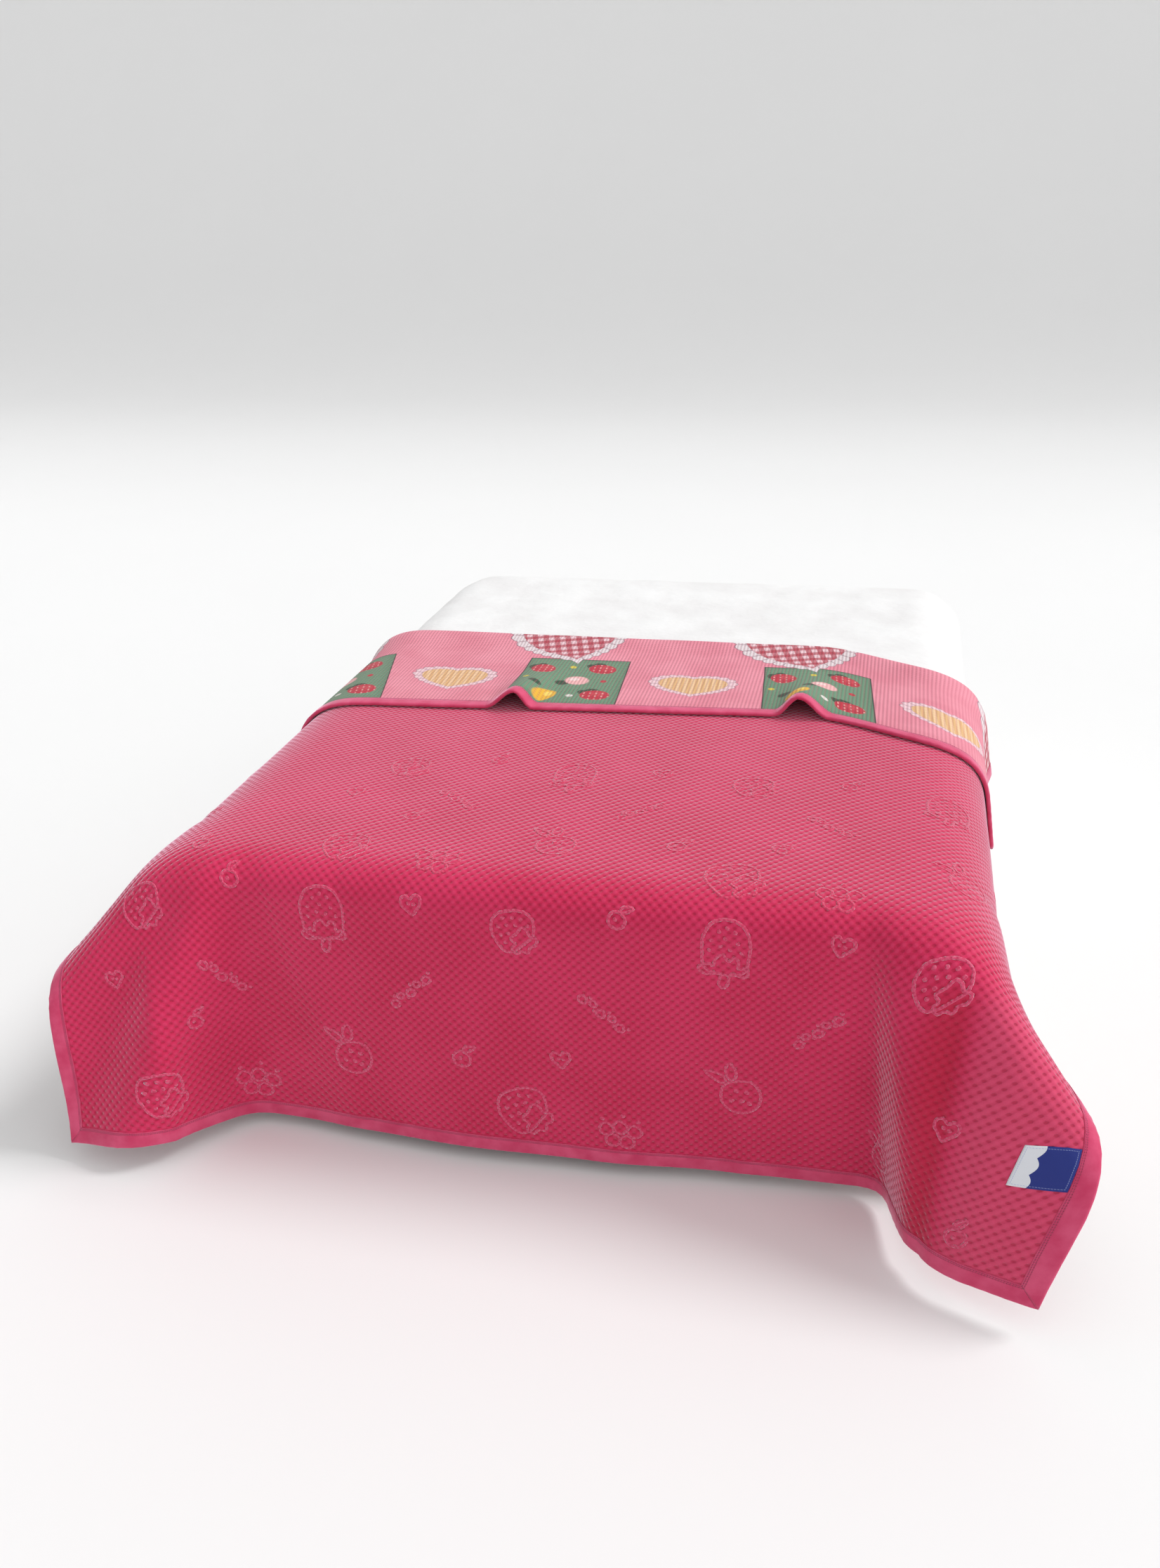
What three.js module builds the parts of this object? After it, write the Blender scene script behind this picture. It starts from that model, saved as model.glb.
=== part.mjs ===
// A reversible bedspread with its head end folded back, lying over a plain mattress on a
// plain base. Millimetres, +Z up, the floor at z = 0 and the foot of the bed towards -Y.
//
// The cloth is worked out as one sheet. u runs across it from -HALF_WIDTH to HALF_WIDTH.
// v runs along it from the foot hem to the head hem, and v = 0 is the foot edge of the bed.
// The sheet lies flat over a core, turns down past the core's sides and foot, and at each
// foot corner falls as a fan of straight lines from the core's corner: the flared fold.
import * as THREE from 'three';

// Cloth and sewing
const HALF_WIDTH = 985;
const CLOTH = 5;
const BINDING_WIDTH = 30;
const BINDING_WALL = 1.1;
const BINDING_EASE = 0.5;
const BINDING_END = 0.9;
const BINDING_LIP = 2;
const GAP = 0.3;
const LABEL = { u0: 887, u1: 954.3, v0: -312, v1: -250, wall: 0.9, lift: 0.5 };
const ELBOW_CLIP = 1.5;

// Flat core of the bed top, and the turn past it
const CORE_HALF = 568;
const CORE_FOOT = 200;
const FOOT_REACH = 688;
const SIDE_TURN = { length: 313, power: 1.97 };
const FOOT_TURN = { length: 200, power: 2.64 };
const CORNER_EXTRA = 0.18;
const TILT_RIGHT = 9;
const TILT_LEFT = 5.3;
const FAN_START = -20;
const FAN_END = 107.5;
const FAN_BLEND = 14;
const FAN_SOFTEN = 4.5;
const TURN_STEPS = 16;

// Outward tilt of the foot hang, in degrees, across the bed
const FOOT_TILT = [
  { u: -1000, tilt: 1.5 },
  { u: -620, tilt: 1.5 },
  { u: -400, tilt: 3.1 },
  { u: -150, tilt: 4.2 },
  { u: 100, tilt: 3.3 },
  { u: 350, tilt: 1.2 },
  { u: 550, tilt: 0.5 },
  { u: 1000, tilt: 0.5 },
];

// Ridges and hollows of each flared corner. angle: where the line lies in the flat cloth,
// from straight across to straight down the foot. out, front: how far its unit direction
// leans away from the bed sideways and towards the foot.
const CORNER_RIGHT = [
  { fold: 'side hang', angle: 16.8, out: 0.296, front: 0.234 },
  { fold: 'outer ridge, side face', angle: 42.8, out: 0.617, front: 0.348 },
  { fold: 'outer ridge, foot face', angle: 49.2, out: 0.598, front: 0.430 },
  { fold: 'tip', angle: 57.5, out: 0.364, front: 0.410 },
  { fold: 'inner ridge', angle: 71.1, out: 0.112, front: 0.309 },
  { fold: 'hollow', angle: 86.3, out: 0.104, front: 0.002 },
];
const CORNER_LEFT = [
  { fold: 'side hang', angle: 18.9, out: 0.490, front: 0.148 },
  { fold: 'outer ridge, side face', angle: 36.3, out: 0.651, front: 0.320 },
  { fold: 'outer ridge, foot face', angle: 42.7, out: 0.596, front: 0.384 },
  { fold: 'tip', angle: 57.5, out: 0.418, front: 0.266 },
  { fold: 'inner ridge', angle: 68.2, out: 0.258, front: 0.346 },
  { fold: 'hollow', angle: 88.1, out: 0.064, front: 0.030 },
];

// Fold-back at the head end
const CREASE_Y = 1345;
const CREASE_RADIUS = 12;
const CREASE_DROP_BACK = { depth: 144, from: 400, over: 350, below: 300 };
const LAYER_PITCH = 10;
const LAYER_LOFT = 60;
const STRIP_LENGTH = 464;
const STRIP_SKEW = 0.1127;
const HUMPS = [
  { u: -262, height: 42, left: 72, right: 42 },
  { u: 392, height: 44, left: 52, right: 72 },
];
const HUMP_LEAN = 0.08;
const HUMP_FADE = 170;

// Mattress and base
const BED_TOP = 595;
const BED_LENGTH = 2100;
const MATTRESS_DEPTH = 240;
const MATTRESS_CORNER = 120;
const MATTRESS_EDGE = 28;
const REST_GAP = 0.8;
const EDGE_GAP = 4;
const BASE_INSET = 22;
const BASE_CORNER = 60;

// Where the bed's foot edge and middle stand, so that the whole is centred
const SHIFT_X = -6.9;
const SHIFT_Y = -913.9;

const COLOURS = {
  face: 0xc8456f,
  binding: 0xd8648c,
  label: 0x20306f,
  mattress: 0xefeeeb,
  base: 0xd9d5ce,
};

const HEM_FOOT = CORE_FOOT - FOOT_REACH;
const CREASE_START = CREASE_Y - CREASE_RADIUS;
const STRIP_START = CREASE_START + Math.PI * CREASE_RADIUS;
const HEM_HEAD = STRIP_START + STRIP_LENGTH;
const rad = THREE.MathUtils.degToRad;
const clamp = THREE.MathUtils.clamp;
const lerp = THREE.MathUtils.lerp;

function smooth(t) {
  const x = clamp(t, 0, 1);
  return x * x * (3 - 2 * x);
}

// Turning angle share along the bend: slow at first, as over a soft mattress edge.
function turned(t, power) {
  return smooth(t) ** power;
}

function footTilt(u) {
  let k = 0;
  while (k < FOOT_TILT.length - 2 && u > FOOT_TILT[k + 1].u) k += 1;
  const a = FOOT_TILT[k];
  const b = FOOT_TILT[k + 1];
  return rad(lerp(a.tilt, b.tilt, smooth((u - a.u) / (b.u - a.u))));
}

// Follows a line of the cloth that starts out along h and ends hanging along e.
function follow(s, h, e, bend, power) {
  const angle = Math.acos(clamp(h.dot(e), -1, 1)) + 1e-6;
  const n = e.clone().addScaledVector(h, -Math.cos(angle)).divideScalar(Math.sin(angle));
  const inBend = Math.min(s, bend);
  let along = 0;
  let down = 0;
  for (let k = 0; k < TURN_STEPS; k += 1) {
    const a = angle * turned((inBend * (k + 0.5)) / TURN_STEPS / bend, power);
    along += Math.cos(a);
    down += Math.sin(a);
  }
  const step = inBend / TURN_STEPS;
  return new THREE.Vector3()
    .addScaledVector(h, along * step)
    .addScaledVector(n, down * step)
    .addScaledVector(e, Math.max(s - bend, 0));
}

function unitDown(x, y) {
  return new THREE.Vector3(x, y, -Math.sqrt(Math.max(1 - x * x - y * y, 1e-4)));
}

function blendUnit(a, b, t) {
  const angle = Math.acos(clamp(a.dot(b), -1, 1)) + 1e-6;
  return a.clone().multiplyScalar(Math.sin((1 - t) * angle) / Math.sin(angle))
    .addScaledVector(b, Math.sin(t * angle) / Math.sin(angle));
}

function cornerRows(side) {
  const table = side > 0 ? CORNER_RIGHT : CORNER_LEFT;
  const sideTilt = rad(side > 0 ? TILT_RIGHT : TILT_LEFT);
  const frontTilt = footTilt(side * CORE_HALF);
  const start = rad(FAN_START);
  const end = rad(FAN_END);
  return [
    { angle: start, e: unitDown(Math.cos(start) * Math.sin(sideTilt), Math.sin(start)) },
    ...table.map((r) => ({ angle: rad(r.angle), e: unitDown(r.out, r.front) })),
    { angle: end, e: unitDown(Math.cos(end), Math.sin(end) * Math.sin(frontTilt)) },
  ];
}
const ROWS = { right: cornerRows(1), left: cornerRows(-1) };

// Hanging direction of one line of the fan, softened over a few degrees either side.
function fanDirection(angle, rows) {
  const sum = new THREE.Vector3();
  for (const d of [-1, -0.5, 0, 0.5, 1]) {
    const a = clamp(angle + d * rad(FAN_SOFTEN), rows[0].angle, rows[rows.length - 1].angle);
    let k = 0;
    while (k < rows.length - 2 && a > rows[k + 1].angle) k += 1;
    const t = (a - rows[k].angle) / (rows[k + 1].angle - rows[k].angle);
    sum.addScaledVector(blendUnit(rows[k].e, rows[k + 1].e, t), 1 - 0.4 * Math.abs(d));
  }
  return sum.normalize();
}

const ACROSS = new THREE.Vector3(1, 0, 0);

// Middle of the cloth where it lies on the bed and hangs, before any fold-back.
function lowerSheet(u, w) {
  const side = u < 0 ? -1 : 1;
  const du = Math.abs(u) - CORE_HALF;
  const dw = CORE_FOOT - w;
  const sideTilt = rad(side > 0 ? TILT_RIGHT : TILT_LEFT);
  const frontTilt = footTilt(u);
  const over = follow(Math.max(du, 0), ACROSS,
    new THREE.Vector3(Math.sin(sideTilt), 0, -Math.cos(sideTilt)),
    SIDE_TURN.length, SIDE_TURN.power);
  const down = follow(Math.max(dw, 0), ACROSS,
    new THREE.Vector3(Math.sin(frontTilt), 0, -Math.cos(frontTilt)),
    FOOT_TURN.length, FOOT_TURN.power);
  const base = new THREE.Vector3(
    side * (Math.min(Math.abs(u), CORE_HALF) + over.x),
    Math.max(w, CORE_FOOT) - down.x,
    over.z + down.z,
  );
  const reach = Math.hypot(du, dw);
  const angle = Math.atan2(dw, du);
  const start = rad(FAN_START);
  const end = rad(FAN_END);
  if (reach < 1e-3 || angle <= start || angle >= end) return base;
  const e = fanDirection(angle, side > 0 ? ROWS.right : ROWS.left);
  const h = new THREE.Vector3(Math.cos(angle), Math.sin(angle), 0);
  const mix = smooth(angle / (Math.PI / 2));
  const diagonal = Math.sin(2 * clamp(angle, 0, Math.PI / 2)) ** 2;
  const bend = lerp(SIDE_TURN.length, FOOT_TURN.length, mix) * (1 + CORNER_EXTRA * diagonal);
  const line = follow(reach, h, e, bend, lerp(SIDE_TURN.power, FOOT_TURN.power, mix));
  const fan = new THREE.Vector3(side * (CORE_HALF + line.x), CORE_FOOT - line.y, line.z);
  const share = smooth((angle - start) / rad(FAN_BLEND)) * smooth((end - angle) / rad(FAN_BLEND));
  return base.lerp(fan, share);
}

function slopeNormal(surface, a, b) {
  const h = 0.1;
  const da = surface(a + h, b).sub(surface(a - h, b));
  const db = surface(a, b + h).sub(surface(a, b - h));
  return da.cross(db).normalize();
}

function humpHeight(u, fromHem) {
  let height = 0;
  for (const hump of HUMPS) {
    const x = u - hump.u - HUMP_LEAN * fromHem;
    const width = (x < 0 ? hump.left : hump.right) * (1 + (1.5 * fromHem) / STRIP_LENGTH);
    const bell = 0.5 * (1 + Math.cos(Math.PI * clamp(x / width, -1, 1)));
    height += hump.height * bell * Math.exp(-((fromHem / HUMP_FADE) ** 2));
  }
  return height;
}

// Middle of the whole cloth, fold-back included.
function middle(u, v) {
  const back = CREASE_DROP_BACK;
  const crease = CREASE_START - back.depth * smooth((u - back.from) / back.over);
  if (v <= CREASE_START) {
    if (v <= back.below) return lowerSheet(u, v);
    const share = (v - back.below) / (CREASE_START - back.below);
    return lowerSheet(u, lerp(back.below, crease, share));
  }
  const turn = Math.min((v - CREASE_START) / CREASE_RADIUS, Math.PI);
  const returned = Math.max(v - STRIP_START, 0);
  const skew = 1 - (STRIP_SKEW * u) / 750;
  const y = crease + CREASE_RADIUS * Math.sin(turn) - returned * skew;
  let lift = CREASE_RADIUS * (1 - Math.cos(turn));
  if (returned > 0) {
    const loft = (2 * CREASE_RADIUS - LAYER_PITCH) * Math.exp(-((returned / LAYER_LOFT) ** 2));
    lift = LAYER_PITCH + loft + humpHeight(u, STRIP_LENGTH - returned);
  }
  const normal = slopeNormal(lowerSheet, u, y);
  return lowerSheet(u, y).addScaledVector(normal, lift);
}

// A point of the cloth, or of what is sewn to it, n above the middle on the face side.
function clothPoint(u, v, n) {
  const normal = slopeNormal(middle, u, v);
  const p = middle(u, v).addScaledVector(normal, n);
  return p.add(new THREE.Vector3(SHIFT_X, SHIFT_Y, BED_TOP));
}

// Folds run out to the corners, so each cell is split along the line to its own corner.
function splitRising(u, v) {
  const middleV = (HEM_FOOT + HEM_HEAD) / 2;
  return (u > 0) !== (v < middleV);
}

// One closed body swept through stations. The section is two chains of the same length,
// an outer and an inner one, joined at both ends. place gives each point its u, v and n.
function sweptCloth(stations, outer, inner, place) {
  const ring = [...outer, ...[...inner].reverse()];
  const count = ring.length;
  const flat = [];
  const points = [];
  for (const station of stations) {
    for (const part of ring) {
      const f = place(station, part);
      flat.push(f);
      points.push(clothPoint(f.u, f.v, f.n));
    }
  }
  const faces = [];
  const quad = (a, b, c, d) => {
    const rise = (p, q) => (flat[q].u - flat[p].u) * (flat[q].v - flat[p].v);
    const cu = (flat[a].u + flat[c].u) / 2;
    const cv = (flat[a].v + flat[c].v) / 2;
    const useAC = splitRising(cu, cv) ? rise(a, c) >= rise(b, d) : rise(a, c) <= rise(b, d);
    if (useAC) faces.push([a, b, c], [a, c, d]);
    else faces.push([a, b, d], [b, c, d]);
  };
  for (let k = 0; k + 1 < stations.length; k += 1) {
    for (let m = 0; m < count; m += 1) {
      const next = (m + 1) % count;
      quad(k * count + m, (k + 1) * count + m, (k + 1) * count + next, k * count + next);
    }
  }
  const last = (stations.length - 1) * count;
  for (let m = 0; m + 1 < outer.length; m += 1) {
    const far = count - 1 - m;
    faces.push([m, m + 1, far - 1], [m, far - 1, far]);
    faces.push([last + m, last + far - 1, last + m + 1], [last + m, last + far, last + far - 1]);
  }
  return closedGeometry(points, faces);
}

function closedGeometry(points, faces) {
  let volume = 0;
  const cross = new THREE.Vector3();
  for (const [a, b, c] of faces) {
    volume += points[a].dot(cross.crossVectors(points[b], points[c]));
  }
  const turned = volume < 0 ? faces.map(([a, b, c]) => [a, c, b]) : faces;
  const geometry = new THREE.BufferGeometry();
  const values = points.flatMap((p) => [p.x, p.y, p.z]);
  geometry.setAttribute('position', new THREE.Float32BufferAttribute(values, 3));
  geometry.setIndex(turned.flat());
  geometry.computeVertexNormals();
  return geometry;
}

function mesh(name, geometry, color, roughness) {
  const material = new THREE.MeshStandardMaterial({ color, roughness, metalness: 0 });
  const result = new THREE.Mesh(geometry, material);
  result.name = name;
  return result;
}

// Even steps between the named places of a line, so that hems, folds and label get a row.
function ladder(places) {
  const out = [places[0].at];
  for (let k = 1; k < places.length; k += 1) {
    const { at, steps } = places[k];
    const from = places[k - 1].at;
    for (let s = 1; s <= steps; s += 1) out.push(from + ((at - from) * s) / steps);
  }
  return out;
}

const SEAM = HALF_WIDTH - BINDING_WIDTH;
const ACROSS_ROWS = ladder([
  { at: -HALF_WIDTH },
  { at: -SEAM, steps: 1 },
  { at: -600, steps: 9 },
  { at: -CORE_HALF, steps: 1 },
  { at: -345, steps: 3 },
  { at: HUMPS[0].u, steps: 4 },
  { at: -210, steps: 4 },
  { at: 330, steps: 5 },
  { at: HUMPS[1].u, steps: 4 },
  { at: 475, steps: 4 },
  { at: CORE_HALF, steps: 1 },
  { at: 600, steps: 1 },
  { at: LABEL.u0, steps: 7 },
  { at: SEAM, steps: 2 },
  { at: HALF_WIDTH, steps: 1 },
]);
const ALONG_ROWS = ladder([
  { at: HEM_FOOT },
  { at: HEM_FOOT + BINDING_WIDTH, steps: 1 },
  { at: LABEL.v0, steps: 4 },
  { at: LABEL.v1, steps: 2 },
  { at: -20, steps: 6 },
  { at: CORE_FOOT - 60, steps: 5 },
  { at: CORE_FOOT + 100, steps: 1 },
  { at: 800, steps: 3 },
  { at: CREASE_START - 60, steps: 3 },
  { at: CREASE_START, steps: 1 },
  { at: STRIP_START, steps: 5 },
  { at: STRIP_START + 70, steps: 2 },
  { at: HEM_HEAD - 180, steps: 3 },
  { at: HEM_HEAD - BINDING_WIDTH, steps: 3 },
  { at: HEM_HEAD, steps: 1 },
]);

function panelGeometry() {
  const outer = ACROSS_ROWS.map((u) => ({ u, n: CLOTH / 2 }));
  const inner = ACROSS_ROWS.map((u) => ({ u, n: -CLOTH / 2 }));
  return sweptCloth(ALONG_ROWS, outer, inner, (v, part) => ({ u: part.u, v, n: part.n }));
}

// Section of the binding: d is measured outwards from the cloth's edge.
const WALL_IN = CLOTH / 2 + BINDING_EASE;
const WALL_OUT = WALL_IN + BINDING_WALL;
const BINDING_OUTER = [
  { d: -BINDING_WIDTH, n: WALL_OUT },
  { d: BINDING_LIP, n: WALL_OUT },
  { d: BINDING_LIP, n: -WALL_OUT },
  { d: -BINDING_WIDTH, n: -WALL_OUT },
];
const BINDING_INNER = [
  { d: -BINDING_WIDTH, n: WALL_IN },
  { d: BINDING_END, n: WALL_IN },
  { d: BINDING_END, n: -WALL_IN },
  { d: -BINDING_WIDTH, n: -WALL_IN },
];

// Stations of one strip between its two mitres. Each station tells where it stands for the
// inner and the outer edge of the strip.
function mitredStations(rows) {
  const inside = rows.slice(2, -2).map((at) => ({ at }));
  return [{ mitre: -1 }, { elbow: -1 }, ...inside, { elbow: 1 }, { mitre: 1 }];
}

function alongStrip(station, part, low, high) {
  const end = (station.mitre ?? station.elbow) > 0 ? high : low;
  const sign = end === high ? 1 : -1;
  if (station.mitre) return end + sign * (part.d - GAP);
  if (station.elbow) return end - sign * (BINDING_WIDTH + (part.d < -1 ? ELBOW_CLIP : 0));
  return station.at;
}

function crossBinding(hem, outward) {
  const stations = mitredStations(ACROSS_ROWS);
  return sweptCloth(stations, BINDING_OUTER, BINDING_INNER, (station, part) => ({
    u: alongStrip(station, part, -HALF_WIDTH, HALF_WIDTH),
    v: hem + outward * part.d,
    n: part.n,
  }));
}

function sideBinding(side) {
  const stations = mitredStations(ALONG_ROWS);
  return sweptCloth(stations, BINDING_OUTER, BINDING_INNER, (station, part) => ({
    u: side * (HALF_WIDTH + part.d),
    v: alongStrip(station, part, HEM_FOOT, HEM_HEAD),
    n: part.n,
  }));
}

function labelGeometry() {
  const { u0, u1, v0, v1, wall, lift } = LABEL;
  const columns = ACROSS_ROWS.filter((u) => u >= u0 - 0.01 && u < HALF_WIDTH)
    .map((u) => Math.min(u, u1));
  const rows = ALONG_ROWS.filter((v) => v >= v0 - 0.01 && v <= v1 + 0.01);
  const low = CLOTH / 2 + lift;
  const outer = columns.map((u) => ({ u, n: low + wall }));
  const inner = columns.map((u) => ({ u, n: low }));
  return sweptCloth(rows, outer, inner, (v, part) => ({ u: part.u, v, n: part.n }));
}

// Closed body of stacked rings, all with the same number of points.
function ringBody(rings) {
  const count = rings[0].length;
  const points = rings.flat();
  const faces = [];
  for (let k = 0; k + 1 < rings.length; k += 1) {
    for (let m = 0; m < count; m += 1) {
      const next = (m + 1) % count;
      const a = k * count + m;
      const b = k * count + next;
      faces.push([a, b, b + count], [a, b + count, a + count]);
    }
  }
  for (const [start, flip] of [[0, true], [(rings.length - 1) * count, false]]) {
    const centre = new THREE.Vector3();
    for (let m = 0; m < count; m += 1) centre.addScaledVector(points[start + m], 1 / count);
    points.push(centre);
    const hub = points.length - 1;
    for (let m = 0; m < count; m += 1) {
      const a = start + m;
      const b = start + ((m + 1) % count);
      faces.push(flip ? [hub, b, a] : [hub, a, b]);
    }
  }
  return closedGeometry(points, faces);
}

// A rounded rectangle seen from above, its height blended from side to end at the corners.
function roundedRing(half, foot, head, radius, sideZ, endZ) {
  const steps = 5;
  const ring = [];
  const corners = [
    { x: half - radius, y: head - radius, start: 0 },
    { x: radius - half, y: head - radius, start: 90 },
    { x: radius - half, y: foot + radius, start: 180 },
    { x: half - radius, y: foot + radius, start: 270 },
  ];
  for (const corner of corners) {
    for (let s = 0; s <= steps; s += 1) {
      const a = rad(corner.start + (90 * s) / steps);
      const z = lerp(sideZ, endZ, smooth(Math.sin(a) ** 2));
      const x = corner.x + radius * Math.cos(a);
      const y = corner.y + radius * Math.sin(a);
      ring.push(new THREE.Vector3(x + SHIFT_X, y + SHIFT_Y, z + BED_TOP));
    }
  }
  return ring;
}

// The mattress top follows the cloth's own turn, a little inside it.
function mattressProfile(t) {
  const straightDown = new THREE.Vector3(0, 0, -1);
  const side = follow(t * SIDE_TURN.length, ACROSS, straightDown, SIDE_TURN.length,
    SIDE_TURN.power);
  const end = follow(t * FOOT_TURN.length, ACROSS, straightDown, FOOT_TURN.length,
    FOOT_TURN.power);
  const slope = (power) => (Math.PI / 2) * turned(t, power);
  const inset = (point, angle) => {
    const gap = CLOTH / 2 + lerp(REST_GAP, EDGE_GAP, smooth(angle / rad(30)));
    return { out: point.x - gap * Math.sin(angle), z: point.z - gap * Math.cos(angle) };
  };
  return { side: inset(side, slope(SIDE_TURN.power)), end: inset(end, slope(FOOT_TURN.power)) };
}

function mattressGeometry() {
  const full = mattressProfile(1);
  const half = CORE_HALF + full.side.out;
  const rings = [0, 0.2, 0.35, 0.46, 0.56, 0.65, 0.73, 0.81, 0.9, 1].map((t) => {
    const { side, end } = mattressProfile(t);
    const inset = full.side.out - side.out;
    const radius = Math.max(MATTRESS_CORNER - 0.4 * inset, 24);
    const foot = CORE_FOOT - end.out;
    return roundedRing(CORE_HALF + side.out, foot, BED_LENGTH - foot, radius, side.z, end.z);
  });
  const footY = CORE_FOOT - full.end.out;
  for (const a of [0, 30, 60, 90]) {
    const inset = MATTRESS_EDGE * (1 - Math.cos(rad(a)));
    const z = -MATTRESS_DEPTH + MATTRESS_EDGE * (1 - Math.sin(rad(a)));
    rings.push(roundedRing(half - inset, footY + inset, BED_LENGTH - footY - inset,
      MATTRESS_CORNER - inset, z, z));
  }
  return ringBody(rings.reverse());
}

function baseGeometry() {
  const full = mattressProfile(1);
  const half = CORE_HALF + full.side.out - BASE_INSET;
  const foot = CORE_FOOT - full.end.out + BASE_INSET;
  const top = -MATTRESS_DEPTH - GAP;
  const rings = [
    { z: -BED_TOP, inset: 3 },
    { z: -BED_TOP + 3, inset: 0 },
    { z: top - 6, inset: 0 },
    { z: top, inset: 6 },
  ].map(({ z, inset }) => roundedRing(half - inset, foot + inset, BED_LENGTH - foot - inset,
    BASE_CORNER, z, z));
  return ringBody(rings);
}

const bedspread = new THREE.Group();
bedspread.add(
  mesh('bedspread_panel', panelGeometry(), COLOURS.face, 0.95),
  mesh('binding_foot', crossBinding(HEM_FOOT, -1), COLOURS.binding, 0.6),
  mesh('binding_head', crossBinding(HEM_HEAD, 1), COLOURS.binding, 0.6),
  mesh('binding_left', sideBinding(-1), COLOURS.binding, 0.6),
  mesh('binding_right', sideBinding(1), COLOURS.binding, 0.6),
  mesh('sewn_label', labelGeometry(), COLOURS.label, 0.7),
);
const bed = new THREE.Group();
bed.add(
  mesh('mattress', mattressGeometry(), COLOURS.mattress, 0.9),
  mesh('bed_base', baseGeometry(), COLOURS.base, 0.85),
);
const whole = new THREE.Group();
whole.add(bedspread, bed);

export default whole;
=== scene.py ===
"""Looks of a reversible bedspread, folded back at its head and draped over a mattress.

Metres, +Z up, the floor at z = 0 and the foot of the bed towards -Y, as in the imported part.
The cloth is worked out as one sheet. u runs across it, v runs along it from the foot hem to
the head hem, and v = 0 is the foot edge of the bed. n is the height above the middle of the
cloth, on the side of its face.
"""

import math

import bpy
import numpy as np
from mathutils import Matrix, Vector


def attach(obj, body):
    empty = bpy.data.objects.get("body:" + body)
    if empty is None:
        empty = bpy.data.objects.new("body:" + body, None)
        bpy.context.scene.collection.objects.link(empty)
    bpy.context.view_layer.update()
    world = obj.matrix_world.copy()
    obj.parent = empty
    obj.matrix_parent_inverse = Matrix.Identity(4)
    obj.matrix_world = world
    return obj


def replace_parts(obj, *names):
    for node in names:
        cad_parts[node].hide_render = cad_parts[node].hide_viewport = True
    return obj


# Cloth and sewing
HALF_WIDTH = 0.985
CLOTH = 0.005
RAW_INSET = 0.003
BINDING_WIDTH = 0.030
MITRE_GAP = 0.0003
LABEL = {"u0": 0.887, "u1": 0.9543, "v0": -0.312, "v1": -0.250, "wall": 0.0009, "lift": 0.0005}

# Waffle of the cloth's face: how far apart its dimples are across and along, the rows between
# them staggered, how deep they are, how they fade out near the hems, and the turn of their two
# waves for each millimetre
WAFFLE_U = 0.0178
WAFFLE_V = 0.0174
WAFFLE_DEPTH = 0.0006
WAFFLE_FADE = 0.030
WAVE_U = 2 * math.pi / WAFFLE_U / 1000
WAVE_V = 2 * math.pi / WAFFLE_V / 1000

# Flat core of the bed top, and the turn past it
CORE_HALF = 0.568
CORE_FOOT = 0.200
FOOT_REACH = 0.688
SIDE_TURN = {"length": 0.313, "power": 1.97}
FOOT_TURN = {"length": 0.200, "power": 2.64}
CORNER_EXTRA = 0.18
TILT_RIGHT = math.radians(9)
TILT_LEFT = math.radians(5.3)
FAN_START = math.radians(-20)
FAN_END = math.radians(107.5)
FAN_BLEND = math.radians(14)
FAN_SOFTEN = math.radians(3.5)
TURN_STEPS = 16

# Outward tilt of the foot hang: place across the bed, tilt in degrees
FOOT_TILT = np.array([
    (-1.000, 1.5),
    (-0.620, 1.5),
    (-0.400, 3.1),
    (-0.150, 4.2),
    (0.100, 3.3),
    (0.350, 1.2),
    (0.550, 0.5),
    (1.000, 0.5),
])

# Ridges and hollows of each flared corner: angle in the flat cloth in degrees, then how far
# the line's direction leans away from the bed sideways and towards the foot
CORNER_RIGHT = [
    (16.8, 0.296, 0.234),
    (42.8, 0.617, 0.348),
    (49.2, 0.598, 0.430),
    (57.5, 0.364, 0.410),
    (71.1, 0.112, 0.309),
    (86.3, 0.104, 0.002),
]
CORNER_LEFT = [
    (18.9, 0.490, 0.148),
    (36.3, 0.651, 0.320),
    (42.7, 0.596, 0.384),
    (57.5, 0.418, 0.266),
    (68.2, 0.258, 0.346),
    (88.1, 0.064, 0.030),
]

# Fold-back at the head end
CREASE_Y = 1.345
CREASE_RADIUS = 0.012
CREASE_DROP_BACK = {"depth": 0.144, "from": 0.400, "over": 0.350, "below": 0.300}
LAYER_PITCH = 0.010
LAYER_LOFT = 0.060
STRIP_LENGTH = 0.464
STRIP_SKEW = 0.1127
HUMPS = [
    {"u": -0.262, "height": 0.042, "left": 0.072, "right": 0.042},
    {"u": 0.392, "height": 0.044, "left": 0.052, "right": 0.072},
]
HUMP_LEAN = 0.08
HUMP_FADE = 0.170

# Mattress and base
BED_TOP = 0.595
BED_LENGTH = 2.100
MATTRESS_DEPTH = 0.240
MATTRESS_CORNER = 0.120
MATTRESS_EDGE = 0.028
MATTRESS_SLACK = 0.0012
MATTRESS_GATHER = 0.0022
REST_GAP = 0.0008
EDGE_GAP = 0.004
BASE_INSET = 0.022
BASE_CORNER = 0.060
BASE_SWELL = 0.003
RING_POINTS = {"mattress": 480, "base": 240, "corner": 15}

# Where the bed's foot edge and middle stand, so that the whole is centred
SHIFT = np.array([-0.0069, -0.9139, BED_TOP])

HEM_FOOT = CORE_FOOT - FOOT_REACH
CREASE_START = CREASE_Y - CREASE_RADIUS
STRIP_START = CREASE_START + math.pi * CREASE_RADIUS
HEM_HEAD = STRIP_START + STRIP_LENGTH

# Long shallow creases left from its storage: u and v of both ends, depth, half width
STORAGE_CREASES = [
    (-0.345, -0.470, -0.395, 0.240, 0.0016, 0.016),
    (0.353, -0.470, 0.322, 0.150, 0.0014, 0.016),
]

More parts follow.
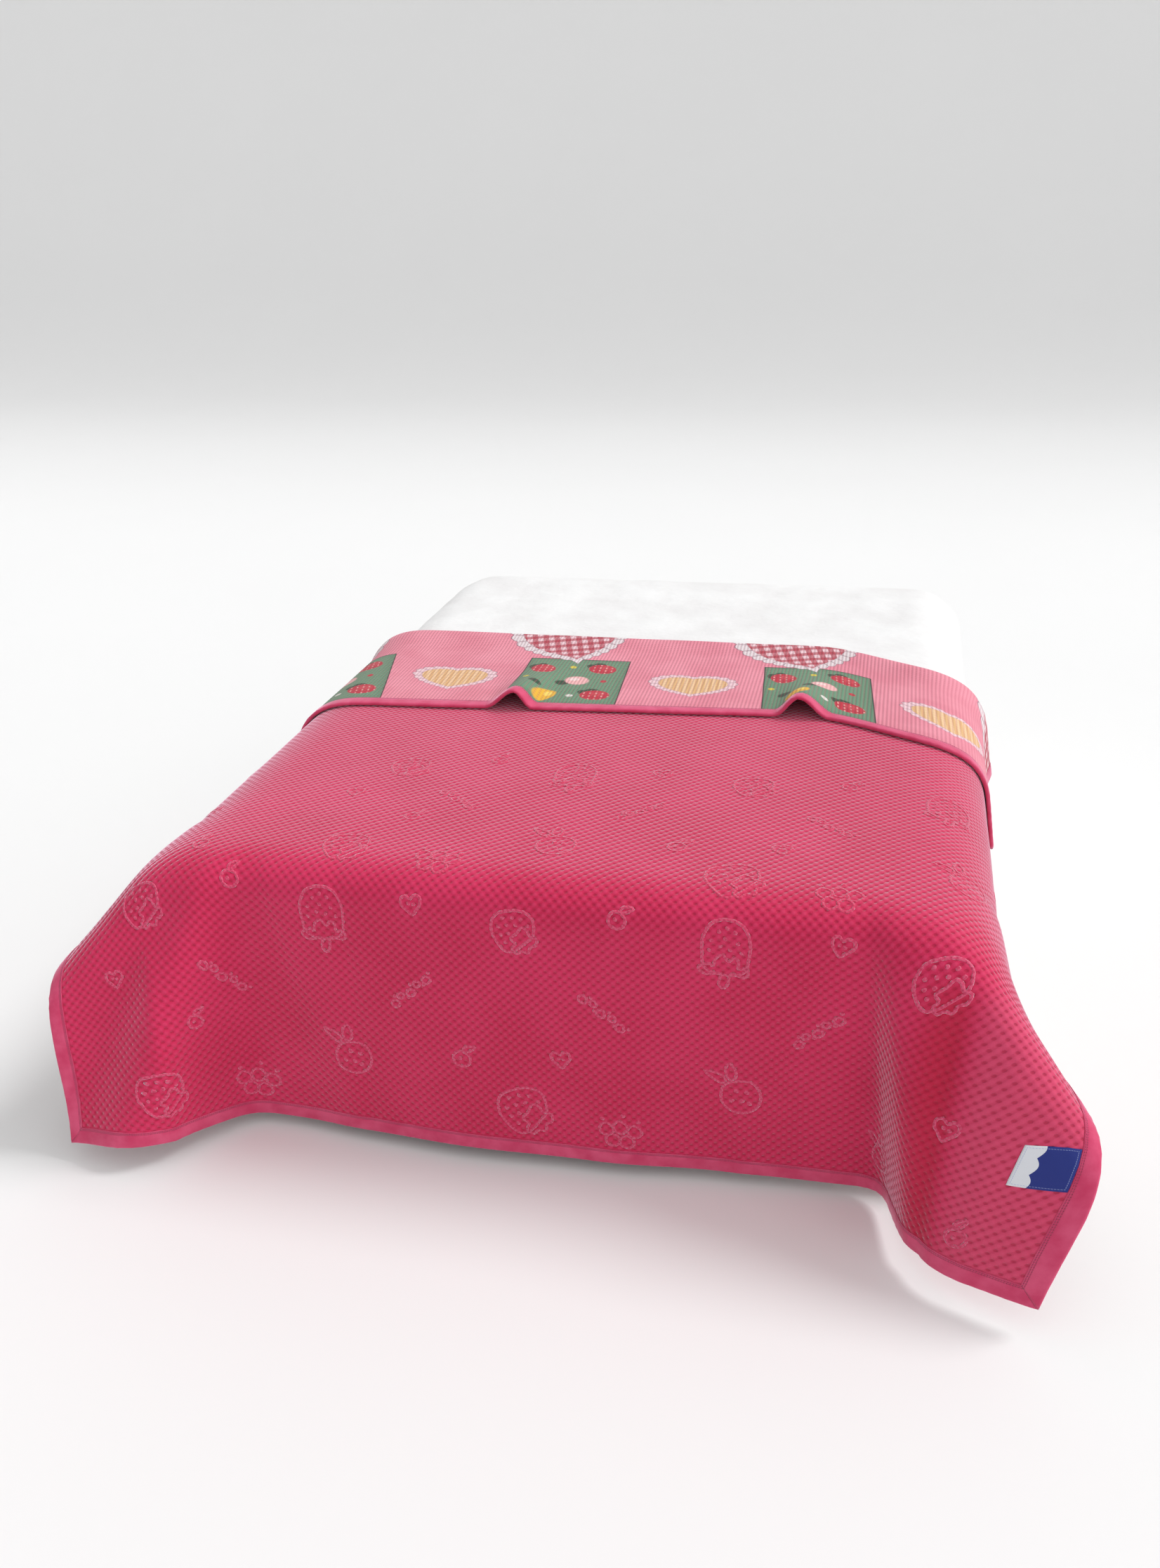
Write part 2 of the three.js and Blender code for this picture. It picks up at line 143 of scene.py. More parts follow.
# Sharp folds of the hang near each foot corner: u and v of both ends, height (a hollow is
# negative), width to the left, width to the right
SHARP_FOLDS = [
    (-0.757, -0.040, -0.757, -0.490, 0.018, 0.090, 0.045),
    (0.735, -0.020, 0.795, -0.490, -0.015, 0.032, 0.040),
    (0.835, -0.060, 0.875, -0.490, 0.006, 0.040, 0.040),
]

# Camera, from its fit to the photograph's hems and outline
CAMERA_PLACE = Vector((0.5681, -2.7539, 1.7157))
CAMERA_YAW = math.radians(14.290)
CAMERA_PITCH = math.radians(25.038)
CAMERA_ROLL = math.radians(-2.228)
CAMERA_LENS = 29.53
CAMERA_SIGHT = 400.0

# Floor: how far it reaches, and where and how its backdrop rises
FLOOR_REACH = 120.0
SWEEP_START = 8.0
SWEEP_RADIUS = 4.0
BACKDROP_TOP = 14.0

# Light: the sky's bright side with its level, lean and least, and the window's side, power and
# width
SKY_SIDE = (0.80, -0.25, 0.55)
SKY_LEVEL = 0.58
SKY_LEAN = 0.58
SKY_LEAST = 0.38
SUN_SIDE = Vector((0.62, 0.25, 0.74))
SUN_POWER = 1.72
SUN_WIDTH = math.radians(20)


def smooth(t):
    """Rises softly from 0 to 1: 3 t squared less 2 t cubed, held at both ends."""
    t = np.clip(t, 0, 1)
    return t * t * (3 - 2 * t)


def foot_tilt(u):
    """Outward tilt at a place across the bed, eased between the rows of the table."""
    k = np.clip(np.searchsorted(FOOT_TILT[:, 0], u) - 1, 0, len(FOOT_TILT) - 2)
    low, high = FOOT_TILT[k], FOOT_TILT[k + 1]
    t = smooth((u - low[..., 0]) / (high[..., 0] - low[..., 0]))
    return np.radians(low[..., 1] * (1 - t) + high[..., 1] * t)


def follow(s, h, e, bend, power):
    """A line of cloth of length s that starts along h and ends along e.

    Its direction turns by the share smooth(t) to the given power over the bend's length, and
    stays straight after it. The place is the sum of that direction over even steps.
    """
    angle = np.arccos(np.clip((h * e).sum(-1), -1, 1)) + 1e-6
    across = (e - h * np.cos(angle)[..., None]) / np.sin(angle)[..., None]
    in_bend = np.minimum(s, bend)
    along = 0
    down = 0
    for share in (np.arange(TURN_STEPS) + 0.5) / TURN_STEPS:
        a = angle * smooth(in_bend * share / bend) ** power
        along = along + np.cos(a)
        down = down + np.sin(a)
    step = in_bend / TURN_STEPS
    rest = np.maximum(s - bend, 0)
    return (along * step)[..., None] * h + (down * step)[..., None] * across + rest[..., None] * e


def unit_down(out, front):
    """Unit direction that leans by out and front, and otherwise points down."""
    return np.stack([out, front, -np.sqrt(np.maximum(1 - out**2 - front**2, 1e-4))], -1)


def corner_rows(table, side_tilt, front_tilt):
    """Angles and directions of a corner's table, with the side hang and foot hang at its ends."""
    rows = np.radians([a for a, _, _ in table])
    angles = np.concatenate([[FAN_START], rows, [FAN_END]])
    out = [math.cos(FAN_START) * math.sin(side_tilt)] + [o for _, o, _ in table]
    front = [math.sin(FAN_START)] + [f for _, _, f in table]
    out = np.array(out + [math.cos(FAN_END)])
    front = np.array(front + [math.sin(FAN_END) * math.sin(front_tilt)])
    return angles, unit_down(out, front)


ROWS_RIGHT = corner_rows(CORNER_RIGHT, TILT_RIGHT, float(foot_tilt(np.array(CORE_HALF))))
ROWS_LEFT = corner_rows(CORNER_LEFT, TILT_LEFT, float(foot_tilt(np.array(-CORE_HALF))))


def fan_direction(angle, rows):
    """Hanging direction of one line of the fan: turned from row to row of the table, and
    softened by a weighted mean over a few degrees either side."""
    angles, directions = rows
    total = 0
    for offset in (-1, -0.5, 0, 0.5, 1):
        a = np.clip(angle + offset * FAN_SOFTEN, FAN_START, FAN_END)
        k = np.clip(np.searchsorted(angles, a) - 1, 0, len(angles) - 2)
        t = (a - angles[k]) / (angles[k + 1] - angles[k])
        low, high = directions[k], directions[k + 1]
        between = np.arccos(np.clip((low * high).sum(-1), -1, 1)) + 1e-6
        share = np.sin((1 - t) * between), np.sin(t * between)
        turned = (share[0][..., None] * low + share[1][..., None] * high) / np.sin(between)[..., None]
        total = total + turned * (1 - 0.4 * abs(offset))
    return total / np.linalg.norm(total, axis=-1, keepdims=True)


def hang(tilt):
    """Unit direction straight down, tilted outwards."""
    return np.stack([np.sin(tilt), np.zeros_like(tilt), -np.cos(tilt)], -1)


def lower_sheet(u, w):
    """Middle of the cloth where it lies on the bed and hangs, before any fold-back.

    It is flat over the core and turns down past its sides and foot. Round each foot corner of
    the core it blends into a fan of lines that start there and fall in their own directions.
    """
    u, w = np.broadcast_arrays(np.asarray(u, float), np.asarray(w, float))
    side = np.where(u < 0, -1.0, 1.0)
    du, dw = np.abs(u) - CORE_HALF, CORE_FOOT - w
    flat = np.stack([np.ones_like(u), np.zeros_like(u), np.zeros_like(u)], -1)
    over = follow(np.maximum(du, 0), flat, hang(np.where(u < 0, TILT_LEFT, TILT_RIGHT)),
                  SIDE_TURN["length"], SIDE_TURN["power"])
    down = follow(np.maximum(dw, 0), flat, hang(foot_tilt(u)),
                  FOOT_TURN["length"], FOOT_TURN["power"])
    base = np.stack([
        side * (np.minimum(np.abs(u), CORE_HALF) + over[..., 0]),
        np.maximum(w, CORE_FOOT) - down[..., 0],
        over[..., 2] + down[..., 2],
    ], -1)
    reach = np.hypot(du, dw)
    angle = np.arctan2(dw, du)
    in_fan = (reach > 1e-6) & (angle > FAN_START) & (angle < FAN_END)
    angle = np.clip(angle, FAN_START, FAN_END)
    outwards = np.stack([np.cos(angle), np.sin(angle), np.zeros_like(angle)], -1)
    falls = np.where((side > 0)[..., None], fan_direction(angle, ROWS_RIGHT),
                     fan_direction(angle, ROWS_LEFT))
    mix = smooth(angle / (math.pi / 2))
    diagonal = np.sin(2 * np.clip(angle, 0, math.pi / 2)) ** 2
    bend = SIDE_TURN["length"] * (1 - mix) + FOOT_TURN["length"] * mix
    power = SIDE_TURN["power"] * (1 - mix) + FOOT_TURN["power"] * mix
    line = follow(reach, outwards, falls, bend * (1 + CORNER_EXTRA * diagonal), power)
    fan = np.stack([side * (CORE_HALF + line[..., 0]), CORE_FOOT - line[..., 1], line[..., 2]], -1)
    share = smooth((angle - FAN_START) / FAN_BLEND) * smooth((FAN_END - angle) / FAN_BLEND)
    share = np.where(in_fan, share, 0.0)[..., None]
    return base * (1 - share) + fan * share


def surface_normal(surface, a, b, step=1e-4):
    """Unit normal of a surface of two parameters, from small steps either way."""
    along_a = surface(a + step, b) - surface(a - step, b)
    along_b = surface(a, b + step) - surface(a, b - step)
    normal = np.cross(along_a, along_b)
    return normal / np.linalg.norm(normal, axis=-1, keepdims=True)


def hump_height(u, from_hem):
    """Height of the two standing folds: a cosine bell across, fading away from the hem."""
    height = 0
    for hump in HUMPS:
        x = u - hump["u"] - HUMP_LEAN * from_hem
        width = np.where(x < 0, hump["left"], hump["right"]) * (1 + 1.5 * from_hem / STRIP_LENGTH)
        bell = 0.5 * (1 + np.cos(np.pi * np.clip(x / width, -1, 1)))
        height = height + hump["height"] * bell * np.exp(-((from_hem / HUMP_FADE) ** 2))
    return height


def middle(u, v):
    """Middle of the whole cloth.

    Up to the crease it is the lower sheet. There it turns through half a circle and comes
    back over itself, lifted along the lower sheet's normal by the layers' pitch and the humps.
    """
    u, v = np.broadcast_arrays(np.asarray(u, float), np.asarray(v, float))
    back = CREASE_DROP_BACK
    crease = CREASE_START - back["depth"] * smooth((u - back["from"]) / back["over"])
    share = np.clip((v - back["below"]) / (CREASE_START - back["below"]), 0, 1)
    before = np.where(v <= back["below"], v, back["below"] + (crease - back["below"]) * share)
    turn = np.clip((v - CREASE_START) / CREASE_RADIUS, 0, np.pi)
    returned = np.maximum(v - STRIP_START, 0)
    y = before + CREASE_RADIUS * np.sin(turn) - returned * (1 - STRIP_SKEW * u / 0.750)
    loft = (2 * CREASE_RADIUS - LAYER_PITCH) * np.exp(-((returned / LAYER_LOFT) ** 2))
    over = LAYER_PITCH + loft + hump_height(u, STRIP_LENGTH - returned)
    lift = np.where(returned > 0, over, CREASE_RADIUS * (1 - np.cos(turn)))
    return lower_sheet(u, y) + surface_normal(lower_sheet, u, y) * lift[..., None]


def soft_relief(u, v):
    """Small unevenness of the cloth: broad puffs of crossing waves, long troughs left from
    storage, and sharp folds that fall off to both sides as the exponential of the distance."""
    relief = 0.0004 * np.sin(u * 21 + 1.3 * np.sin(v * 9)) * np.sin(v * 17 + 0.8)
    for u0, v0, u1, v1, depth, width in STORAGE_CREASES:
        along = np.clip((v - v0) / (v1 - v0), 0, 1)
        across = u - (u0 + (u1 - u0) * along)
        fade = smooth((v1 - v) / 0.12) * smooth((v - v0 + 0.03) / 0.03)
        relief = relief - depth * fade * np.exp(-((across / width) ** 2))
    for u0, v0, u1, v1, height, left, right in SHARP_FOLDS:
        across = u - (u0 + (u1 - u0) * (v - v0) / (v1 - v0))
        away = np.sqrt(across**2 + 0.005**2) / np.where(across < 0, left, right)
        relief = relief + height * smooth((v0 - v) / 0.120) * np.exp(-away)
    return relief


def waffle_relief(u, v):
    """Dimples of the face: minus the product of two cosines, fading out towards the binding
    and the fold."""
    wave = np.cos(u * 2 * np.pi / WAFFLE_U) * np.cos(v * 2 * np.pi / WAFFLE_V)
    edge = np.minimum(HALF_WIDTH - np.abs(u), np.minimum(v - HEM_FOOT, CREASE_START - v))
    return -WAFFLE_DEPTH * (wave + 0.3) * smooth((edge - WAFFLE_FADE) / WAFFLE_FADE)


def cloth_point(u, v, n):
    """Point of the cloth, or of what is sewn to it, in the part's frame."""
    u, v, n = np.broadcast_arrays(u, v, n)
    normal = surface_normal(middle, u, v)
    return middle(u, v) + normal * (n + soft_relief(u, v))[..., None] + SHIFT


def add_object(name, data):
    """New object of the scene."""
    made = bpy.data.objects.new(name, data)
    bpy.context.scene.collection.objects.link(made)
    return made


def smooth_mesh(name, points, blocks, materials):
    """Smooth shaded mesh from an array of points and a list of arrays of faces, each with
    faces of one number of corners, outward side first."""
    mesh = bpy.data.meshes.new(name)
    faces = [face for block in blocks for face in block.tolist()]
    mesh.from_pydata(points.reshape(-1, 3).tolist(), [], faces)
    mesh.shade_smooth()
    for material in materials:
        mesh.materials.append(material)
    return mesh


def new_piece(name, points, blocks, materials, face_material=None, maps=None):
    """Visible piece of the part. maps gives, for each UV map, one pair for each point."""
    mesh = smooth_mesh(name, points, blocks, materials)
    if face_material is not None:
        mesh.polygons.foreach_set("material_index", face_material.astype(np.int32))
    at_corner = np.zeros(len(mesh.loops), np.int32)
    mesh.loops.foreach_get("vertex_index", at_corner)
    for title, pairs in (maps or {}).items():
        layer = mesh.uv_layers.new(name=title)
        layer.data.foreach_set("uv", pairs.reshape(-1, 2)[at_corner].astype(np.float32).ravel())
    mesh.validate()
    piece = add_object(name, mesh)
    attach(piece, "root")
    return piece


def grid_faces(rows, columns, start=0, closed=False):
    """Quads of a grid of points, row after row. closed also joins the last column to the first."""
    wide = columns if closed else columns - 1
    k, m = np.meshgrid(np.arange(rows - 1), np.arange(wide), indexing="ij")
    a = k * columns + m
    b = k * columns + (m + 1) % columns
    return np.stack([a, b, b + columns, a + columns], -1).reshape(-1, 4) + start


def outward(points, faces):
    """The same faces, turned round if the closed body they make has a negative volume."""
    p = points.reshape(-1, 3)
    fans = [p[faces[:, [0, i, i + 1]]] for i in range(1, faces.shape[1] - 1)]
    volume = sum((f[:, 0] * np.cross(f[:, 1], f[:, 2])).sum() for f in fans)
    return faces[:, ::-1] if volume < 0 else faces


def cloth_lattice():
    """u and v of the cloth's grid, its number of waffle rows, and the sum of row and column
    that its first dimple or puff stands for. Up to the fold the grid's points are the dimples
    and the puffs between them."""
    half_u, half_v = WAFFLE_U / 2, WAFFLE_V / 2
    edge = HALF_WIDTH - RAW_INSET
    last = int(edge / half_u) - 1
    us = np.concatenate([[-edge], np.arange(-last, last + 1) * half_u, [edge]])
    first = math.ceil((HEM_FOOT + RAW_INSET) / half_v + 0.5)
    waffle_rows = np.arange(first, math.floor((CREASE_START - 0.004) / half_v)) * half_v
    vs = np.concatenate([
        [HEM_FOOT + RAW_INSET],
        waffle_rows,
        np.linspace(CREASE_START, STRIP_START, 11)[:-1],
        np.linspace(STRIP_START, HEM_HEAD - RAW_INSET, 42),
    ])
    return us, vs, len(waffle_rows), first - last


def cloth_rim(rows, columns, back_rows):
    """Faces that join the grid of the face to the grid of the back round the raw edge: quads,
    and pentagons at the sides where the back leaves out a row."""
    count = rows * columns
    across = np.arange(columns - 1)
    up = np.arange(len(back_rows) - 1)
    low, high = back_rows[:-1] * columns, back_rows[1:] * columns
    under, over = count + up * columns, count + (up + 1) * columns
    top, top_under = (rows - 1) * columns + across, count + (len(back_rows) - 1) * columns + across
    foot_rim = np.stack([across, across + count, across + count + 1, across + 1], -1)
    head_rim = np.stack([top + 1, top_under + 1, top_under, top], -1)
    right = columns - 1
    sides = [np.stack([low + right, under + right, over + right, high + right], -1),
             np.stack([high, over, under, low], -1)]
    single = np.diff(back_rows) == 1
    between = low[~single] + columns
    wide = [np.concatenate([sides[0][~single], between[:, None] + right], 1),
            np.concatenate([sides[1][~single], between[:, None]], 1)]
    return [foot_rim, head_rim, sides[0][single], sides[1][single], *wide]


def make_cloth(face_material, back_material):
    """The quilted cloth: its face and its back, each a grid over u and v half the cloth's
    thickness from the middle, joined round the raw edge. Below the fold the hidden back has
    every other row."""
    us, vs, waffle_rows, phase = cloth_lattice()
    v, u = np.meshgrid(vs, us, indexing="ij")
    rows, columns = u.shape
    count = rows * columns
    below = waffle_rows // 2 * 2
    back_rows = np.concatenate([np.arange(0, below, 2), np.arange(below, rows)])
    face = cloth_point(u, v, CLOTH / 2 + waffle_relief(u, v))
    back = cloth_point(u[back_rows], v[back_rows], -CLOTH / 2)
    points = np.concatenate([face.reshape(-1, 3), back.reshape(-1, 3)])
    on_face = grid_faces(rows, columns)
    dimple = (on_face[:, 0] // columns + on_face[:, 0] % columns + phase) % 2 == 0
    on_face[dimple] = np.roll(on_face[dimple], 1, axis=1)
    on_back = grid_faces(len(back_rows), columns, count)[:, ::-1]
    blocks = [on_face, on_back, *cloth_rim(rows, columns, back_rows)]
    which = np.concatenate([np.full(len(block), k == 1) for k, block in enumerate(blocks)])
    place = np.concatenate([np.stack([a.ravel(), b.ravel()], -1)
                            for a, b in ((u, v), (u[back_rows], v[back_rows]))])
    bake = (place - [-HALF_WIDTH, HEM_FOOT]) / (4.1 * HALF_WIDTH)
    bake[count:, 0] += 0.505
    return new_piece("bedspread_cloth", points, blocks, [face_material, back_material], which,
                     {"cloth_place": place, "OFBake": bake})


def binding_profile():
    """Outer and inner chain of the folded strip, as pairs of d and n. d is measured outwards
    from the cloth's edge. The outer chain has two shallow stitch grooves on each side, swells
    between them and the edge, and turns round it on an ellipse."""
    d = np.array([-30.0, -29.7, -28.8, -27.6, -26.4, -24.9, -23.6, -22.2, -19, -15, -10, -6]) / 1000
    n = np.array([3.10, 3.75, 4.05, 3.70, 4.05, 3.72, 4.15, 4.35, 4.6, 4.7, 4.65, 4.55]) / 1000
    turn = np.radians(np.arange(80, -1, -16))
    arc = np.stack([-0.0026 + 0.0046 * np.cos(turn), 0.0045 * np.sin(turn)], -1)
    half = np.concatenate([np.stack([d, n], -1), arc])
    outer = np.concatenate([half, half[-2::-1] * [1, -1]])
    inner = np.sign(outer) * np.minimum(np.abs(outer), [1, 0.0030])
    inner[:, 0] = np.minimum(outer[:, 0], 0.0004)
    return outer, inner


def mitred_places(low, high, step, d):
    """Where each station of a strip stands along it, for each d of the profile. Near its ends
    the stations lean until the last one lies along the 45 degree mitre."""
    elbow = BINDING_WIDTH + 0.002
    inside = np.linspace(low + elbow, high - elbow, int((high - low) / step))
    lean = np.linspace(0, 1, 5)[1:, None]
    start = (low + elbow) + lean[::-1] * ((low - d + MITRE_GAP) - (low + elbow))
    end = (high - elbow) + lean * ((high + d - MITRE_GAP) - (high - elbow))
    return np.concatenate([start, np.repeat(inside[:, None], len(d), 1), end])


def make_binding(name, material, low, high, place):
    """One binding strip: the profile carried along the hem between two mitres, closed at both
    ends by a strip of quads between its outer and inner chain."""
    outer, inner = binding_profile()
    ring = np.concatenate([outer, inner[::-1]])
    along = mitred_places(low, high, 0.010, ring[:, 0])
    d = np.repeat(ring[None, :, 0], len(along), 0)
    n = np.repeat(ring[None, :, 1], len(along), 0)
    u, v = place(along, d)
    pucker = 0.0003 * np.sin(along * 2 * np.pi / 0.023 + np.sin(along * 61)) * (d > -0.024)
    points = cloth_point(u, v, n + np.sign(n) * pucker)
    rows, count = along.shape
    faces = [grid_faces(rows, count, closed=True)]
    m = np.arange(len(outer) - 1)
    cap = np.stack([m, m + 1, count - 2 - m, count - 1 - m], -1)
    faces.append(cap[:, ::-1])
    faces.append(cap + (rows - 1) * count)
    faces = outward(points, np.concatenate(faces))
    maps = {"strip_place": np.stack([along, d], -1)}
    return new_piece(name, points, [faces], [material], maps=maps)


def make_bindings(material):
    """The four strips round the cloth. Each one's place gives u and v of the strip's own along
    and d."""
    hems = [
        ("hem_binding_foot", -HALF_WIDTH, HALF_WIDTH, lambda a, d: (a, HEM_FOOT - d)),
        ("hem_binding_head", -HALF_WIDTH, HALF_WIDTH, lambda a, d: (a, HEM_HEAD + d)),
        ("side_binding_left", HEM_FOOT, HEM_HEAD, lambda a, d: (-HALF_WIDTH - d, a)),
        ("side_binding_right", HEM_FOOT, HEM_HEAD, lambda a, d: (HALF_WIDTH + d, a)),
    ]
    return [make_binding(name, material, low, high, place) for name, low, high, place in hems]


def make_label(material):
    """The sewn label: a thin slab over the cloth's face, a little domed, with rolled rims."""
    u = np.linspace(LABEL["u0"], LABEL["u1"], 25)
    v = np.linspace(LABEL["v0"], LABEL["v1"], 23)
    v, u = np.meshgrid(v, u, indexing="ij")
    x = (u - LABEL["u0"]) / (LABEL["u1"] - LABEL["u0"])
    y = (v - LABEL["v0"]) / (LABEL["v1"] - LABEL["v0"])
    rim = np.minimum(np.minimum(x, 1 - x), np.minimum(y, 1 - y))
    low = CLOTH / 2 + LABEL["lift"]
    high = low + LABEL["wall"] * (0.45 + 0.55 * smooth(rim / 0.05)) + 0.0006 * np.sin(np.pi * y)
    top = cloth_point(u, v, high)
    bottom = cloth_point(u, v, low)
    rows, columns = u.shape
    count = rows * columns
    index = np.arange(count).reshape(rows, columns)
    edge = np.concatenate([index[0], index[1:, -1], index[-1, -2::-1], index[-2:0:-1, 0]])
    after = np.roll(edge, -1)
    faces = np.concatenate([
        grid_faces(rows, columns),
        grid_faces(rows, columns)[:, ::-1] + count,
        np.stack([edge, edge + count, after + count, after], -1),
    ])
    points = np.concatenate([top.reshape(-1, 3), bottom.reshape(-1, 3)])
    place = np.stack([x, y], -1).reshape(-1, 2)
    return new_piece("hem_label", points, [faces], [material],
                     maps={"label_place": np.concatenate([place, place])})


# Raised outlines of the face, charted in millimetres. Each shape is a closed line
# through its points, and dots are small raised seeds.
BERRY_TALL = [(0, 62), (27, 54), (41, 28), (41, -4), (34, -34), (0, -44), (-34, -34), (-41, -4),
              (-41, 28), (-27, 54)]
CAP_TALL = [(-42, -30), (-26, -24), (-20, -30), (-16, -12), (-4, -4), (6, -16), (16, -6),
            (24, -14), (24, -28), (38, -24), (42, -36), (34, -44), (12, -40), (8, -62),
            (0, -72), (-8, -62), (-6, -42), (-30, -46), (-44, -40)]
SEEDS_TALL = [(-14, 40), (14, 42), (-2, 28), (-26, 22), (20, 22), (-10, 12), (8, 8), (-28, 2),
              (28, 4), (0, 48)]
BERRY_ROUND = [(-4, 40), (22, 40), (40, 26), (40, -4), (26, -20), (4, -38), (-14, -40),
               (-30, -20), (-38, 4), (-30, 30)]
CAP_ROUND = [(10, -2), (18, 10), (28, 6), (34, -6), (46, -10), (44, -24), (34, -28), (30, -40),
             (18, -38), (8, -44), (0, -34), (6, -24), (-2, -14)]
SEEDS_ROUND = [(-16, 26), (2, 28), (18, 26), (-24, 8), (-8, 12), (8, 14), (-20, -8), (-6, -4),
               (-12, -22), (30, 14)]
LEAFED_FRUIT = [(8, 24), (28, 20), (36, 0), (28, -20), (8, -28), (-12, -20), (-18, 0), (-10, 18)]
LEAF_ONE = [(-12, 20), (-24, 26), (-36, 40), (-24, 38), (-10, 30)]
LEAF_TWO = [(-4, 26), (-8, 40), (-2, 52), (6, 40), (4, 28)]
SEEDS_FRUIT = [(4, 8), (18, 6), (10, -8), (-4, -8), (20, -12)]
HEART = [(0, 10), (8, 16), (18, 12), (18, 0), (8, -12), (0, -20), (-8, -12), (-18, 0),
         (-18, 12), (-8, 16)]
CHERRY = [(0, 14), (13, 8), (15, -6), (4, -15), (-10, -12), (-15, 2), (-9, 12)]
CHERRY_LEAF = [(2, 14), (12, 20), (20, 30), (8, 28), (0, 22)]
BUNCH_GRAPE = [(0, 11), (9, 6), (11, -4), (3, -11), (-7, -9), (-11, 1), (-7, 9)]
SPRIG_LOOP = [(0, 7), (7, 3), (9, -4), (2, -8), (-6, -6), (-8, 2)]


def even_ring(ring, count=0):
    """The same closed line cut into even steps, about 4 long or so many as count says."""
    closed = np.concatenate([ring, ring[:1]])
    length = np.concatenate([[0], np.cumsum(np.linalg.norm(np.diff(closed, axis=0), axis=1))])
    even = np.linspace(0, length[-1], (count or max(int(length[-1] / 4.0), 6)) + 1)[:-1]
    return np.stack([np.interp(even, length, column) for column in closed.T], -1)


def round_line(points):
    """Closed Catmull-Rom line through the points, in even steps."""
    p = np.array(points, float)
    t = np.linspace(0, 1, 9)[:-1, None, None]
    a, b, c, d = np.roll(p, 1, 0), p, np.roll(p, -1, 0), np.roll(p, -2, 0)
    curve = 0.5 * (2 * b + (c - a) * t + (2 * a - 5 * b + 4 * c - d) * t**2
                   + (3 * b - a - 3 * c + d) * t**3)
    return even_ring(curve.transpose(1, 0, 2).reshape(-1, 2))


def shifted(points, x, y, size=1.0):
    """The same points, made larger and moved."""
    return [(px * size + x, py * size + y) for px, py in points]


# What each motif is made of: its closed lines, and its dots
MOTIFS = {
    "tall": ([BERRY_TALL, CAP_TALL], SEEDS_TALL),
    "round": ([BERRY_ROUND, CAP_ROUND], SEEDS_ROUND),
    "fruit": ([LEAFED_FRUIT, LEAF_ONE, LEAF_TWO], SEEDS_FRUIT),
    "heart": ([HEART], [(-4, 2), (5, 0)]),
    "cherry": ([CHERRY, CHERRY_LEAF], [(-3, 0)]),
    "bunch": ([shifted(BUNCH_GRAPE, x, y) for x, y in
               [(-24, 6), (-2, 10), (20, 4), (-14, -14), (8, -16)]], [(-30, 24), (2, 32), (26, 22)]),
    "sprig": ([shifted(SPRIG_LOOP, x, y, s) for x, y, s in
               [(-46, -2, 1), (-26, 4, 0.8), (-4, -3, 1), (18, 3, 0.8), (40, -2, 1)]],
              [(-36, 10), (-15, -8), (7, 9), (29, -7), (54, 6)]),
}

# Where the motifs lie near the foot: kind, u, v, turn in degrees, size
FOOT_MOTIFS = [
    ("tall", -0.409, -0.020, 2, 1.0),
    ("tall", 0.342, -0.014, -3, 1.0),
    ("round", -0.042, -0.011, 0, 1.0),
    ("round", -0.772, -0.025, 4, 1.0),
    ("round", 0.709, -0.032, 0, 1.0),
    ("heart", -0.231, 0.024, 8, 1.0),
    ("cherry", 0.150, 0.030, -20, 1.0),
    ("cherry", -0.590, 0.040, 15, 1.0),
    ("heart", 0.540, 0.020, -10, 1.0),
    ("sprig", -0.618, -0.161, -38, 1.0),
    ("sprig", -0.243, -0.154, 42, 1.0),
    ("sprig", 0.124, -0.161, -38, 1.0),
    ("sprig", 0.507, -0.154, 42, 1.0),
    ("heart", -0.839, -0.160, 6, 0.9),
    ("cherry", -0.685, -0.248, 0, 0.9),
    ("fruit", -0.385, -0.318, -4, 1.35),
    ("fruit", 0.362, -0.312, 6, 1.35),
    ("cherry", -0.150, -0.290, -12, 1.1),
    ("heart", 0.042, -0.269, 6, 0.95),
    ("bunch", 0.155, -0.418, 0, 1.2),
    ("heart", 0.784, -0.255, 0, 1.0),
    ("round", -0.036, -0.392, 12, 1.2),
    ("round", -0.770, -0.386, 3, 1.05),
    ("bunch", -0.575, -0.408, -4, 1.3),
    ("fruit", 0.620, -0.400, -10, 1.0),
    ("cherry", 0.850, -0.420, 20, 1.0),
]
MOTIF_REPEAT = 0.530
MOTIF_ROWS = 1
LINE_HALF = 0.0030
LINE_HEIGHT = 0.0010
MOTIF_MARGIN = {"side": 0.045, "foot": 0.036}


def motif_places():
    """The foot's motifs, repeated up the cloth as far as the folded strip, every other time
    moved across by half the pattern."""
    places = list(FOOT_MOTIFS)
    for row in range(1, MOTIF_ROWS + 1):
        for kind, u, v, turn, size in FOOT_MOTIFS:
            across = u + 0.375 * (row % 2)
            across = across - 1.9 if across > 0.95 else across
            if v + row * MOTIF_REPEAT < 0.900:
                places.append((kind, across, v + row * MOTIF_REPEAT, turn, size))
    return places


def placed(points, place):
    """Chart points in millimetres as u and v on the cloth, turned and sized about the place."""
    _, u, v, turn, size = place
    a = math.radians(turn)
    x, y = points[:, 0] * size / 1000, points[:, 1] * size / 1000
    return np.stack([u + x * math.cos(a) - y * math.sin(a), v + x * math.sin(a) + y * math.cos(a)], -1)


def outline_rings(line):
    """Sections of one raised line: a low rounded ridge either side of its closed path."""
    ahead = np.roll(line, -1, 0) - np.roll(line, 1, 0)
    ahead /= np.linalg.norm(ahead, axis=1, keepdims=True)
    side = np.stack([-ahead[:, 1], ahead[:, 0]], -1)
    across = np.array([-1.0, -0.62, 0.62, 1.0])
    flat = line[:, None, :] + side[:, None, :] * (across * LINE_HALF)[None, :, None]
    height = CLOTH / 2 + np.array([-0.0004, LINE_HEIGHT, LINE_HEIGHT, -0.0004])
    return flat, np.repeat(height[None], len(line), 0)


